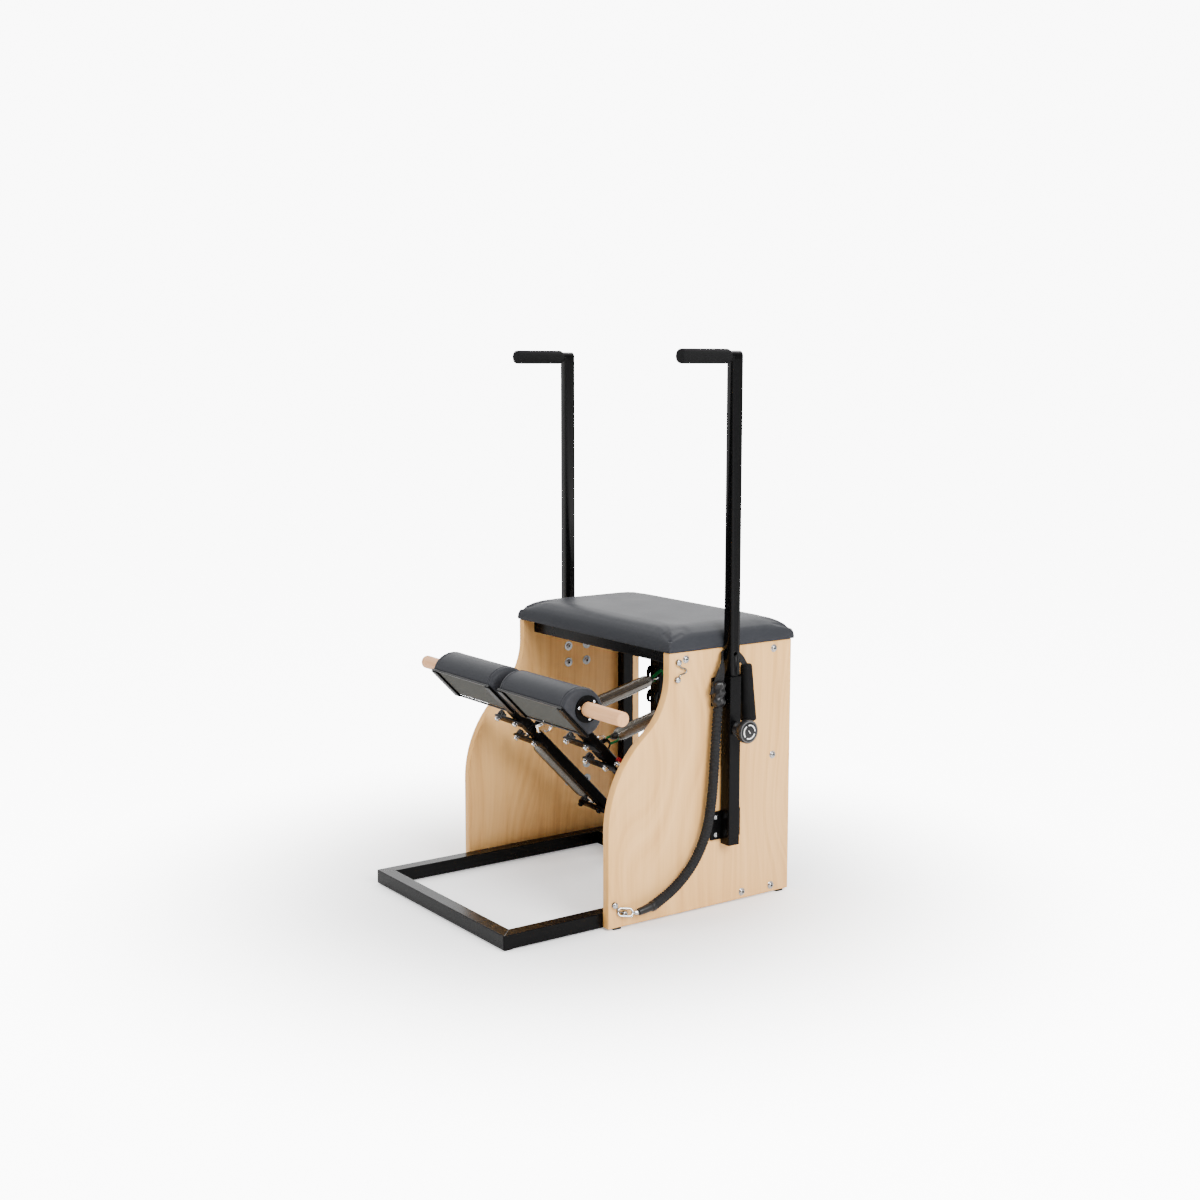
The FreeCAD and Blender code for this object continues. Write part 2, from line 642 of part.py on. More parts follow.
def coil(start, line, side, length, turns):
    """One unbroken wire: a helix that narrows to a nose at both ends and leaves it along the wire."""
    across = line.cross(side)

    def radius(turn):
        near = min(turn, turns - turn) / TAPER_TURNS
        return NOSE_R + (COIL_R - NOSE_R) * min(1.0, near)

    def place(turn):
        angle = 2 * pi * turn
        out = side * cos(angle) + across * sin(angle)
        return start + line * (length * turn / turns) + out * radius(turn)

    step = 0.5
    small = 0.001
    count = int(turns / step)
    points = [place(i * step) for i in range(count + 1)]
    ways = []
    for i in range(count + 1):
        low = max(0.0, i * step - small)
        high = min(float(turns), i * step + small)
        way = place(high) - place(low)
        way.normalize()
        ways.append(way)
    edges = [Part.makeLine(points[0] - ways[0] * WIRE, points[0])]
    for i in range(count):
        edges += biarc(points[i], ways[i], points[i + 1], ways[i + 1])
    edges.append(Part.makeLine(points[-1], points[-1] + ways[-1] * WIRE))
    path = Part.Wire(edges)
    shell = Part.BRepOffsetAPI.MakePipeShell(path)
    shell.add(polygon(WIRE_SIDES, WIRE / 2, points[0] - ways[0] * WIRE, ways[0]))
    shell.build()
    shell.makeSolid()
    solid = shell.shape()
    print("least gap in the coil %.2f mm" % least_gap(edges))
    print("coil volume ratio %.3f" % (solid.Volume / wire_volume(path)))
    return solid


def wire_volume(path):
    return path.Length * WIRE_SIDES / 2 * sin(2 * pi / WIRE_SIDES) * (WIRE / 2) ** 2


def least_gap(edges):
    """Smallest space between lengths of the wire that are more than half a turn apart."""
    marks = []
    for edge in edges:
        marks += edge.discretize(7)[:-1]
    apart = 18
    reach = 40
    least = min((marks[i] - marks[j]).Length for i in range(len(marks))
                for j in range(i + apart, min(i + reach, len(marks))))
    return least - WIRE


def make_work_springs():
    hook, stud, line, length = work_line()
    across = V(1, 0, 0)
    rear = ring_with_stem(hook, line, across.cross(line))
    front_hook = stud + line * (STUD_R + RING_WIRE / 2 + FRONT_SLACK)
    front = ring_with_stem(front_hook, -line, across)
    nose = 2 * RING_R + STEM_LEN + WIRE
    span = (front_hook - hook).Length - 2 * nose
    spring = coil(hook + line * nose, line, across, span, WORK_TURNS)
    for name, solid in (("work_spring", spring), ("rear_ring", rear), ("front_ring", front)):
        keep("right_" + name, solid)
        keep("left_" + name, mirrored(solid))
    print("working spring from", hook, "to", stud, "length %.2f" % length)


# Dowel
def make_dowel():
    a = radians(ARM_ANGLE)
    y = PIVOT_Y - ARM_REACH * cos(a)
    z = PIVOT_Z + ARM_REACH * sin(a)
    dowel = rod((-DOWEL_HALF, y, z), (DOWEL_HALF, y, z), DOWEL_R)
    keep("dowel", dowel.makeChamfer(DOWEL_EASE, [e for e in dowel.Edges if e.Closed]))


# Handles
SLEEVE_X0 = PANEL_OUTER_X + SLEEVE_STANDOFF
SLEEVE_X1 = SLEEVE_X0 + SLEEVE_TUBE
HANDLE_X = SLEEVE_X0 + SLEEVE_TUBE / 2


def make_handle_mounts():
    tube = square_tube((SLEEVE_X0, SLEEVE_X1), around(HANDLE_Y, SLEEVE_TUBE / 2), (SLEEVE_Z0, SLEEVE_Z1), 2)
    collar_end = (SLEEVE_X1 + COLLAR_LEN, HANDLE_Y, LOCK_Z)
    collar = rod((SLEEVE_X1, HANDLE_Y, LOCK_Z), collar_end, COLLAR_R)
    bore = rod((HANDLE_X, HANDLE_Y, LOCK_Z), collar_end, PIN_R + BOLT_GAP)
    sleeve = tube.fuse(collar).cut(bore)
    keep("right_handle_sleeve", sleeve)
    keep("left_handle_sleeve", mirrored(sleeve))
    plates = []
    for z in PLATE_CENTRES_Z:
        plate = box((PANEL_OUTER_X, SLEEVE_X0), around(HANDLE_Y, PLATE_W / 2), around(z, PLATE_H / 2))
        plates.append(plate)
    keep("sleeve_plates", *(plates + [mirrored(p) for p in plates]))


def make_handles():
    half = HANDLE_POST / 2
    post = square_tube(around(HANDLE_X, half), around(HANDLE_Y, half), (HANDLE_BOTTOM_Z, GRIP_Z), 2)
    front = (HANDLE_X, GRIP_TIP_Y + GRIP_EASE, GRIP_Z)
    rear = (HANDLE_X, GRIP_TUBE_REAR_Y, GRIP_Z)
    cross = rod(front, rear, GRIP_TUBE_R)
    holes = []
    for i in range(HOLE_COUNT):
        z = LOCK_Z + HOLE_PITCH * i
        holes.append(prism((HANDLE_X, HANDLE_Y, z), (SLEEVE_X1, HANDLE_Y, z), HOLE_R))
    handle = post.fuse(cross).removeSplitter().cut(holes)
    keep("right_handle_post", handle)
    keep("left_handle_post", mirrored(handle))
    tip = (HANDLE_X, GRIP_TIP_Y, GRIP_Z)
    end = (HANDLE_X, GRIP_TIP_Y + GRIP_LEN, GRIP_Z)
    grip = rod(tip, end, GRIP_R)
    grip = grip.makeChamfer(GRIP_EASE, [e for e in grip.Edges if e.Closed]).cut(cross)
    keep("right_grip", grip)
    keep("left_grip", mirrored(grip))


def make_knobs():
    tip = HANDLE_X + HANDLE_POST / 2 + PIN_REST_GAP
    face = SLEEVE_X1 + KNOB_FACE_OUT
    back = face - KNOB_DEPTH
    neck = SLEEVE_X1 + COLLAR_LEN + 2 * KNOB_ROUND
    axis = V(HANDLE_X, HANDLE_Y, LOCK_Z)

    def at(x, r):
        return V(x, HANDLE_Y, LOCK_Z + r)

    rim = KNOB_R - KNOB_ROUND
    corners = [at(tip, 0), at(tip, PIN_R), at(neck, PIN_R), at(neck, KNOB_NECK_R), at(back, KNOB_NECK_R),
               at(back + KNOB_ROUND, KNOB_R), at(face - KNOB_ROUND, KNOB_R), at(face, rim), at(face, 0),
               at(tip, 0)]
    knob = Part.Face(Part.makePolygon(corners)).revolve(axis, V(1, 0, 0), 360)
    keep("right_knob", knob)
    keep("left_knob", mirrored(knob))


# Panel bolts, cord anchors and feet
def make_bolts():
    """Domed heads of the bolts that hold the panels to the frame."""
    heads = []
    crown = PANEL_OUTER_X + BOLT_HEAD
    for y, z in BOLT_PLACES:
        washer = prism((PANEL_OUTER_X, y, z), (PANEL_OUTER_X + WASHER_T, y, z), WASHER_R)
        heads.append(washer.fuse(prism((PANEL_OUTER_X, y, z), (crown, y, z), BOLT_HEAD_R)))
    keep("panel_bolts", *(heads + [mirrored(h) for h in heads]))


def anchor(first, second, bulge):
    """A bent wire bail held off the panel by two bolts: two legs and two bolts."""
    x = PANEL_OUTER_X + ANCHOR_STAND - ANCHOR_WIRE
    a = V(x, *first)
    b = V(x, *second)
    along = b - a
    along.normalize()
    back = along.cross(V(1, 0, 0))
    mid = (a + b) * 0.5 + back * bulge
    half = back * (ANCHOR_WIRE / 2)
    posts = []
    face = PANEL_OUTER_X + ANCHOR_STAND
    for y, z in (first, second):
        shank = prism((PANEL_OUTER_X, y, z), (face, y, z), ANCHOR_POST_R)
        posts.append(shank.fuse(prism((face, y, z), (face + ANCHOR_WIRE, y, z), ANCHOR_HEAD_R)))
    legs = []
    for end, post in zip((a, b), posts):
        strip = Part.makePolygon([end - half, mid - half, mid + half, end + half, end - half])
        legs.append(extrude(strip, V(ANCHOR_WIRE, 0, 0)).cut(post))
    return posts + legs


def make_anchors():
    right = [solid for pair in ANCHORS for solid in anchor(*pair)]
    keep("cord_anchors", *(right + [mirrored(s) for s in right]))


def make_feet():
    places = [(side * (PANEL_OUTER_X - FOOT_HALF), y) for side in (-1, 1) for y in FOOT_PANEL_Y]
    places += [(side * (PANEL_INNER_X - TUBE / 2), FOOT_FRAME_Y) for side in (-1, 1)]
    keep("feet", *[box(around(x, FOOT_HALF), around(y, FOOT_HALF), (-FOOT_H, 0)) for x, y in places])


# Resistance cord
def cord_path(points):
    """Straight runs joined by tangent arcs."""
    edges = []
    last = points[0]
    for before, corner, after in zip(points, points[1:], points[2:]):
        run_in = corner - before
        run_out = after - corner
        step = CORD_BEND * min(run_in.Length, run_out.Length)
        run_in.normalize()
        run_out.normalize()
        start = corner - run_in * step
        end = corner + run_out * step
        half = run_in.getAngle(run_out) / 2
        middle = run_out - run_in
        middle.normalize()
        radius = step / tan(half)
        print("cord bend radius %.0f" % radius)
        edges.append(Part.makeLine(last, start))
        edges.append(Part.Arc(start, corner + middle * (radius / cos(half) - radius), end).toShape())
        last = end
    edges.append(Part.makeLine(last, points[-1]))
    return Part.Wire(edges)


def cone(start, end, start_r, end_r, start_way=None, end_way=None):
    """A tapered piece on the cord, with the cord's number of sides; a way sets the slant of an end."""
    line = end - start
    line.normalize()
    ends = ((start, start_r, start_way or line), (end, end_r, end_way or line))
    return Part.makeLoft([polygon(CORD_SIDES, r, place, way) for place, r, way in ends], True, True)


def make_cord():
    points = [V(CORD_X, *place) for place in CORD_ROUTE]
    path = cord_path(points)
    way = points[1] - points[0]
    way.normalize()
    profile = polygon(CORD_SIDES, CORD_R, points[0], way)
    tube = path.makePipeShell([profile], True, False)
    section = CORD_SIDES / 2 * sin(2 * pi / CORD_SIDES) * CORD_R ** 2
    print("cord length %.0f, volume ratio %.3f" % (path.Length, tube.Volume / (section * path.Length)))
    keep("cord_sleeve", tube)
    top = points[0] - way * SEAT_GAP
    collar = cone(V(CORD_X, *COLLAR_CORD_TOP), top, COLLAR_CORD_R, CORD_R, V(0, 0, -1), way)
    tail = points[-1] - points[-2]
    tail.normalize()
    fitting_end = V(CORD_X, *FITTING_END)
    fitting = cone(points[-1] + tail * SEAT_GAP, fitting_end, FITTING_R0, FITTING_R1, tail)
    keep("cord_ends", collar, fitting)
    make_strap()
    make_snap(fitting_end, fitting_end - points[-1])
    keep("cord_handgrip", cone(V(*HANDGRIP_TOP), V(*HANDGRIP_LOW), HANDGRIP_TOP_R, HANDGRIP_LOW_R))


def make_strap():
    """A webbing strap from the collar round the inner side of the handle post to the hand grip."""
    x = CORD_X - STRAP_T / 2
    y, z = COLLAR_CORD_TOP
    low, high = STRAP_Z
    link = (STRAP_FRONT_Y, STRAP_FRONT_Y + STRAP_T)
    rear = (STRAP_REAR_Y, STRAP_REAR_Y + STRAP_T)
    front = Part.makePolygon([V(x, y - COLLAR_CORD_R, z + SEAT_GAP), V(x, y + COLLAR_CORD_R, z + SEAT_GAP),
                              V(x, link[1], low), V(x, link[1], high), V(x, link[0], high),
                              V(x, y - COLLAR_CORD_R, z + SEAT_GAP)])
    grip = V(*HANDGRIP_TOP)
    half = HANDGRIP_TOP_R / 2
    back = Part.makePolygon([V(x, rear[0], low), V(x, rear[0], high), V(x, grip.y + half, grip.z + STRAP_T),
                             V(x, grip.y - half, grip.z + SEAT_GAP), V(x, rear[0], low)])
    inner = (STRAP_INNER_X, STRAP_INNER_X + STRAP_T)
    reach = (STRAP_INNER_X, x + STRAP_T)
    band = box(inner, (link[0], rear[1]), STRAP_Z)
    pieces = [box(reach, link, STRAP_Z), box(reach, rear, STRAP_Z), extrude(front, V(STRAP_T, 0, 0)),
              extrude(back, V(STRAP_T, 0, 0))]
    keep("cord_strap", band.fuse(pieces).removeSplitter())


def make_snap(start, way):
    """A snap hook: a long link with a rounded nose, on the cord's end fitting."""
    way.normalize()
    up = V(1, 0, 0).cross(way)
    half = V(SNAP_WIRE / 2, 0, 0)

    def outline(height, back, front):
        nose = start + way * (front - height)
        corners = [start + way * back + up * height, nose + up * height]
        other = [nose - up * height, start + way * back - up * height]
        round_nose = Part.Arc(corners[1], start + way * front, other[0]).toShape()
        edges = [Part.makeLine(corners[0], corners[1]), round_nose, Part.makeLine(other[0], other[1]),
                 Part.makeLine(other[1], corners[0])]
        wire = Part.Wire(edges)
        wire.translate(-half)
        return extrude(wire, half * 2)

    frame = outline(SNAP_HALF_H, SEAT_GAP, SNAP_LEN)
    keep("snap_hook", frame.cut(outline(SNAP_HALF_H - SNAP_WIRE, SNAP_WIRE, SNAP_LEN - SNAP_WIRE)))


make_panels()
make_frame()
make_hooks()
make_seat()
make_pivots()
make_arm()
make_pad()
make_spring_bars()
make_parked_springs()
make_work_springs()
make_dowel()
make_handle_mounts()
make_handles()
make_knobs()
make_bolts()
make_anchors()
make_feet()
make_cord()

for node, shape in nodes.items():
    shape.translate(V(0, -BOX_MID_Y, FOOT_H))
    shape.exportStep("parts/%s.step" % node)
print("nodes", len(nodes))
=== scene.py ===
import json
from math import copysign, cos, exp, pi, radians, sin

import bpy
import numpy as np
from mathutils import Matrix, Vector


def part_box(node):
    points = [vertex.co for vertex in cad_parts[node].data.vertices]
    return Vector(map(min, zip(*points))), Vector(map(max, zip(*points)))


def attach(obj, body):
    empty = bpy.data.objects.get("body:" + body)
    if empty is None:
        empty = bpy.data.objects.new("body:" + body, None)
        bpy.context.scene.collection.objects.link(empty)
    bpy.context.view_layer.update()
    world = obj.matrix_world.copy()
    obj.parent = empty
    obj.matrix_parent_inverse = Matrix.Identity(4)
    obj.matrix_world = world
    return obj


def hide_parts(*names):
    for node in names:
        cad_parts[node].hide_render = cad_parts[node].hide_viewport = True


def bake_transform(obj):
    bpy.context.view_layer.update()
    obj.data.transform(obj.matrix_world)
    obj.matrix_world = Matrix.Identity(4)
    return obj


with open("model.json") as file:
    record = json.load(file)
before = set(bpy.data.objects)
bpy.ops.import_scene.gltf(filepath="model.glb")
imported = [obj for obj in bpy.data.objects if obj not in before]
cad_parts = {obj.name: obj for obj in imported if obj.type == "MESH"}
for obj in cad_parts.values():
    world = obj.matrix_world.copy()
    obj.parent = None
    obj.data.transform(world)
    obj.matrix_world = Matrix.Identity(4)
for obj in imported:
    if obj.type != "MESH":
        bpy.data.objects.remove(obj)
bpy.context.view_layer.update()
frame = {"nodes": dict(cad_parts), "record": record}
nodes = frame["nodes"]

MM = 0.001
# The drawing's lengths start at the panels' front edge and underside; the model's at the floor's centre.
DRAWING_TO_FLOOR = Vector((0, -135.35, 4))
SIDES = (("left", -1), ("right", 1))
# Lengths that several pieces share, in mm
PANEL_T = 21.0
PANEL_INNER = 287.0
PANEL_OUTER = PANEL_INNER + PANEL_T
HANDLE_X = 329.0
HANDLE_Y = 326.0
ACROSS = Vector((1, 0, 0))


def at(x, y, z):
    """A point of the drawing, in mm, as a point of the model, in metres."""
    return (Vector((x, y, z)) + DRAWING_TO_FLOOR) * MM


# Modelling helpers
def deselect():
    """Leave edit mode and select nothing."""
    if bpy.context.mode != "OBJECT":
        bpy.ops.object.mode_set(mode="OBJECT")
    bpy.ops.object.select_all(action="DESELECT")


def select(*pieces):
    """Select these pieces alone, the first one as the active one."""
    deselect()
    for piece in pieces:
        piece.select_set(True)
    bpy.context.view_layer.objects.active = pieces[0]


def edit(piece):
    """Go into edit mode with the whole mesh selected."""
    select(piece)
    bpy.ops.object.mode_set(mode="EDIT")
    bpy.ops.mesh.select_all(action="SELECT")


def linked(name, data):
    piece = bpy.data.objects.new(name, data)
    bpy.context.scene.collection.objects.link(piece)
    return piece


def fresh(name):
    """Name the primitive that was just added and put its place into its mesh."""
    piece = bpy.context.object
    piece.name = name
    piece.data.name = name
    bpy.ops.object.transform_apply()
    return piece


def outward(piece):
    """Merge doubles and turn all faces outwards."""
    edit(piece)
    bpy.ops.mesh.remove_doubles(threshold=1e-6)
    bpy.ops.mesh.normals_make_consistent()
    deselect()


def smooth(piece, angle=35):
    """Shade smooth, apart from edges sharper than an angle in degrees."""
    select(piece)
    bpy.ops.object.shade_smooth_by_angle(angle=radians(angle))
    return piece


def apply_modifier(piece, kind, **settings):
    modifier = piece.modifiers.new(kind.lower(), kind)
    for key, value in settings.items():
        setattr(modifier, key, value)
    select(piece)
    bpy.ops.object.modifier_apply(modifier=modifier.name)


def turned(name, profile, sides=32):
    """A turned piece along z: a disc that is drawn out and resized, ring by ring; profile is (z, r) in mm."""
    deselect()
    z, r = profile[0]
    bpy.ops.mesh.primitive_circle_add(vertices=sides, radius=r * MM, fill_type="NGON", location=(0, 0, z * MM))
    piece = fresh(name)
    edit(piece)
    for next_z, next_r in profile[1:]:
        bpy.ops.mesh.extrude_region_move(TRANSFORM_OT_translate={"value": (0, 0, (next_z - z) * MM)})
        scale = next_r / r
        bpy.ops.transform.resize(value=(scale, scale, 1), center_override=(0, 0, next_z * MM))
        z, r = next_z, next_r
    outward(piece)
    return smooth(piece)


def moved(piece, origin, axis, up=(0, 0, 1)):
    """Put a piece that was made along z at a point, pointing along an axis."""
    z = Vector(axis).normalized()
    x = Vector(up).cross(z)
    if x.length < 0.01:
        x = Vector((1, 0, 0))
    x.normalize()
    y = z.cross(x)
    turn = Matrix((x, y, z)).transposed().to_4x4()
    piece.data.transform(Matrix.Translation(origin) @ turn)
    return piece


def copy_of(piece, name):
    return linked(name, piece.data.copy())


def joined(name, pieces):
    select(*pieces)
    if len(pieces) > 1:
        bpy.ops.object.join()
    whole = bpy.context.view_layer.objects.active
    whole.name = name
    whole.data.name = name
    return whole


def many(name, model, places):
    """Copies of one model as one piece, each moved to its place; the model itself goes."""
    copies = [moved(copy_of(model, name + "_copy"), *place) for place in places]
    bpy.data.objects.remove(model)
    return joined(name, copies)


def row(name, profile, sides, places):
    """The same turned piece at many places, as one piece."""
    return many(name, turned("one", profile, sides), places)


def plate(name, outline, thickness, bevel=0.8):
    """A flat plate with a given outline in x and y, in mm, drawn out along z."""
    deselect()
    bpy.ops.mesh.primitive_circle_add(vertices=len(outline), fill_type="NGON")
    piece = fresh(name)
    for vertex, (x, y) in zip(piece.data.vertices, outline):
        vertex.co = (x * MM, y * MM, 0)
    edit(piece)
    bpy.ops.mesh.extrude_region_move(TRANSFORM_OT_translate={"value": (0, 0, thickness * MM)})
    outward(piece)
    apply_modifier(piece, "BEVEL", width=bevel * MM, segments=2, limit_method="ANGLE", angle_limit=radians(50))
    return smooth(piece)


def rounded_box(name, low, high, bevel, segments=3):
    """A box between two corners, in metres, with rounded edges."""
    deselect()
    centre = (Vector(low) + Vector(high)) / 2
    size = Vector(high) - Vector(low)
    bpy.ops.mesh.primitive_cube_add(size=1, location=centre, scale=size)
    piece = fresh(name)
    edit(piece)
    bpy.ops.mesh.bevel(offset=bevel, segments=segments, affect="EDGES")
    return smooth(piece)


def dress(piece, finish, body, replaces=(), slot=None):
    """Give a finished piece its material and body, and hide the nodes that it stands for; the slot argument is not
    used.
    """
    piece.data.materials.clear()
    piece.data.materials.append(finish.material)
    if body:
        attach(piece, body)
    slot = slot or finish.slot
    if replaces:
        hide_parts(*replaces)
    return piece


def sheet(name, rows):
    """A grid whose vertices are put at rows of points."""
    deselect()
    bpy.ops.mesh.primitive_grid_add(x_subdivisions=len(rows) - 1, y_subdivisions=len(rows[0]) - 1, size=1)
    piece = fresh(name)
    order = sorted(piece.data.vertices, key=lambda vertex: (round(vertex.co.x, 5), vertex.co.y))
    for vertex, point in zip(order, (point for row in rows for point in row)):
        vertex.co = point
    return piece


def curve_mesh(name, points, resolution, radius=0.0):
    """The mesh of a smooth curve: its line alone, or a round wire with a radius in mm."""
    data = bpy.data.curves.new(name, "CURVE")
    data.dimensions = "3D"
    data.resolution_u = resolution
    data.bevel_depth = radius * MM
    data.bevel_resolution = 3
    data.use_fill_caps = True
    spline = data.splines.new("NURBS")
    spline.points.add(len(points) - 1)
    for control, point in zip(spline.points, points):
        control.co = (*point, 1)
    spline.order_u = 3
    spline.use_endpoint_u = True
    guide = linked(name + "_line", data)
    mesh = bpy.data.meshes.new_from_object(guide)
    bpy.data.objects.remove(guide)
    return mesh


def clamped(value):
    """A value kept between 0 and 1."""
    return min(1.0, max(0.0, value))


# Materials
class Signal:
    """One socket's value in a Python expression; each operator adds a Math node."""

    def __init__(self, finish, socket):
        self.finish = finish
        self.socket = socket

    def math(self, operation, *values):
        return self.finish.node("ShaderNodeMath", {"operation": operation}, dict(enumerate(values)))

    def __add__(self, other):
        return self.math("ADD", self, other)

    __radd__ = __add__

    def __sub__(self, other):
        return self.math("SUBTRACT", self, other)

    def __rsub__(self, other):
        return self.math("SUBTRACT", other, self)

    def __mul__(self, other):
        return self.math("MULTIPLY", self, other)

    def __abs__(self):
        return self.math("ABSOLUTE", self)


class Finish:
    """A material or a world, built up from nodes."""

    slot = None

    def __init__(self, name, owner=None, **fixed):
        self.material = owner or bpy.data.materials.new(name)
        self.material.use_nodes = True
        self.tree = self.material.node_tree
        self.shader = self.tree.nodes["Background" if owner else "Principled BSDF"]
        self.set(**fixed)

    def set(self, **values):
        for key, value in values.items():
            self.feed(self.shader.inputs[key.replace("_", " ").title().replace("Ior", "IOR")], value)
        return self

    def feed(self, socket, value):
        """Link a signal to a socket, or put a constant there."""
        if isinstance(value, Signal):
            self.tree.links.new(value.socket, socket)
        else:
            socket.default_value = value

    def node(self, kind, settings=None, sockets=None, output=0):
        """A new node with its settings and inputs; gives one of its outputs."""
        made = self.tree.nodes.new(kind)
        for key, value in (settings or {}).items():
            if key == "stops":
                ramp = made.color_ramp.elements
                while len(ramp) < len(value):
                    ramp.new(0.5)
                for element, (position, colour) in zip(ramp, value):
                    element.position = position
                    element.color = (*colour, 1)
            else:
                setattr(made, key, value)
        for key, value in (sockets or {}).items():
            self.feed(made.inputs[key], value)
        return Signal(self, made.outputs[output])

    def place(self, scale=(1, 1, 1)):
        """Object coordinates, stretched."""
        coordinates = self.node("ShaderNodeTexCoord", output="Object")
        return self.node("ShaderNodeMapping", sockets={"Vector": coordinates, "Scale": scale})

    def axis(self, name):
        coordinates = self.node("ShaderNodeTexCoord", output="Object")
        return self.node("ShaderNodeSeparateXYZ", sockets={0: coordinates}, output=name)

    def noise(self, scale, detail, stretch=(1, 1, 1), roughness=0.55):
        return self.node("ShaderNodeTexNoise", sockets={
            "Vector": self.place(stretch), "Scale": scale, "Detail": detail, "Roughness": roughness})

    def ramp(self, factor, *stops):
        """A colour ramp with stops of (position, colour)."""
        return self.node("ShaderNodeValToRGB", {"stops": stops}, {0: factor})

    def mix(self, factor, first, second):
        colours = [(*c, 1) if isinstance(c, tuple) else c for c in (first, second)]
        return self.node("ShaderNodeMix", {"data_type": "RGBA"}, {0: factor, 6: colours[0], 7: colours[1]}, 2)

    def bump(self, height, distance, strength=1.0, normal=None):
        sockets = {"Height": height, "Distance": distance, "Strength": strength}
        if normal:
            sockets["Normal"] = normal
        return self.node("ShaderNodeBump", sockets=sockets)

    def eased(self, radius):
        """Rounded edges for a node with sharp ones."""
        return self.node("ShaderNodeBevel", {"samples": 6}, {"Radius": radius})


def laminate():
    """Pale maple face with upright grain, and a warmer band along the cut edges."""
    finish = Finish("maple_laminate", specular_ior_level=0.25)
    broad = finish.noise(1.0, 5.0, (9, 9, 0.9))
    fine = finish.noise(1.0, 3.0, (260, 260, 5))
    figure = finish.noise(1.0, 6.0, (34, 34, 1.6), 0.62)
    bow = finish.axis("Y") * 9.0 + finish.noise(2.2, 2.0, (1, 1, 0.45)) * 5.0
    arches = finish.node("ShaderNodeTexNoise", {"noise_dimensions": "1D"},
                         {"W": bow, "Scale": 6.0, "Detail": 2.0})
    tone = broad * 0.22 + figure * 0.36 + fine * 0.18 + arches * 0.24
    face = finish.ramp(tone, (0.34, (0.56, 0.287, 0.088)), (0.50, (0.695, 0.388, 0.134)),
                       (0.66, (0.775, 0.458, 0.170)))
    cut = finish.ramp(tone, (0.34, (0.55, 0.275, 0.072)), (0.66, (0.67, 0.365, 0.105)))
    depth = abs(finish.axis("X"))
    edge = depth.math("COMPARE", depth, (PANEL_INNER + PANEL_T / 2) * MM, (PANEL_T / 2 - 0.2) * MM)
    return finish.set(base_color=finish.mix(edge, face, cut), roughness=0.40 + fine * 0.16, coat_weight=0.12,
                      coat_roughness=0.35,
                      normal=finish.bump(fine * 0.5 + figure * 0.5, 0.00025, 0.35, finish.eased(0.0012)))


def moulded(name, gloss, tones, rough, cloud=30.0, skin=1100.0, relief=(0.0001, 0.3), ease=0.0006):
    """A plain skin with faint clouds in its tone and gloss, a fine grain and eased edges."""
    finish = Finish(name, specular_ior_level=gloss)
    grain = finish.noise(skin, 2.0)
    clouds = finish.noise(cloud, 3.0)
    return finish.set(base_color=finish.mix(clouds, *tones), roughness=rough[0] + clouds * rough[1],
                      normal=finish.bump(grain, *relief, finish.eased(ease)))


# Black powder coat with a faint orange-peel skin
POWDER = (((0.0012, 0.0012, 0.0013), (0.0022, 0.0022, 0.0024)), (0.20, 0.12), 14.0, 900.0, (0.00012, 0.2), 0.0035)


def vinyl():
    """Slate-grey upholstery vinyl with a fine leather grain."""
    finish = Finish("slate_vinyl", specular_ior_level=0.075)
    grain = finish.node("ShaderNodeTexVoronoi", {"feature": "DISTANCE_TO_EDGE"}, {
        "Vector": finish.place(), "Scale": 900.0})
    pores = finish.noise(1400.0, 3.0)
    cloud = finish.noise(11.0, 4.0)
    return finish.set(base_color=finish.mix(cloud, (0.0205, 0.0215, 0.0250), (0.0245, 0.0256, 0.0295)),
                      roughness=0.43 + cloud * 0.10 - grain * 0.15,
                      normal=finish.bump(grain * 0.7 + pores * 0.3, 0.0003, 0.30))


def metal(name, colour, roughness):
    """Bright metal with faint handling marks."""
    finish = Finish(name, metallic=1.0)
    marks = finish.noise(60.0, 5.0)
    shade = tuple(c * 0.86 for c in colour)
    return finish.set(base_color=finish.mix(marks, shade, colour), roughness=(marks * 0.5 + 0.75) * roughness)


def beech():
    """Sanded beech with short flecks along the dowel."""
    finish = Finish("beech", specular_ior_level=0.35)
    grain = finish.noise(1.0, 5.0, (6, 190, 190))
    fleck = finish.noise(1.0, 2.0, (90, 900, 900))
    tone = grain * 0.65 + fleck * 0.35
    return finish.set(base_color=finish.ramp(tone, (0.30, (0.50, 0.241, 0.099)), (0.55, (0.60, 0.309, 0.137)),
                                             (0.75, (0.66, 0.363, 0.174))),
                      roughness=0.46 + fleck * 0.14, normal=finish.bump(tone, 0.0002, 0.3))


def foam():
    """Closed-cell black foam rubber."""
    finish = Finish("black_foam", specular_ior_level=0.08)
    cells = finish.node("ShaderNodeTexVoronoi", {}, {"Vector": finish.place(), "Scale": 700.0})
    cloud = finish.noise(25.0, 3.0)
    return finish.set(base_color=finish.mix(cloud, (0.0030, 0.0030, 0.0032), (0.0055, 0.0055, 0.0058)),
                      roughness=0.66 + cloud * 0.2, normal=finish.bump(cells, 0.0004, 0.35))


def plastic(name, dark, light, roughness):
    """Moulded plastic or rubber with a fine spark-eroded skin."""
    return moulded(name, 0.25, (dark, light), (roughness - 0.1, 0.2))


def cloth(name, dark, light, thread):
    """Woven cloth: crossed threads in Object coordinates."""
    finish = Finish(name, specular_ior_level=0.1)
    weave = finish.node("ShaderNodeTexChecker", {}, {"Vector": finish.place(), "Scale": thread}, 1)
    fuzz = finish.noise(700.0, 4.0)
    return finish.set(base_color=finish.mix(weave * 0.4 + fuzz * 0.6, dark, light), roughness=0.72 + fuzz * 0.2,
                      normal=finish.bump(weave * 0.5 + fuzz * 0.5, 0.0004, 0.5))


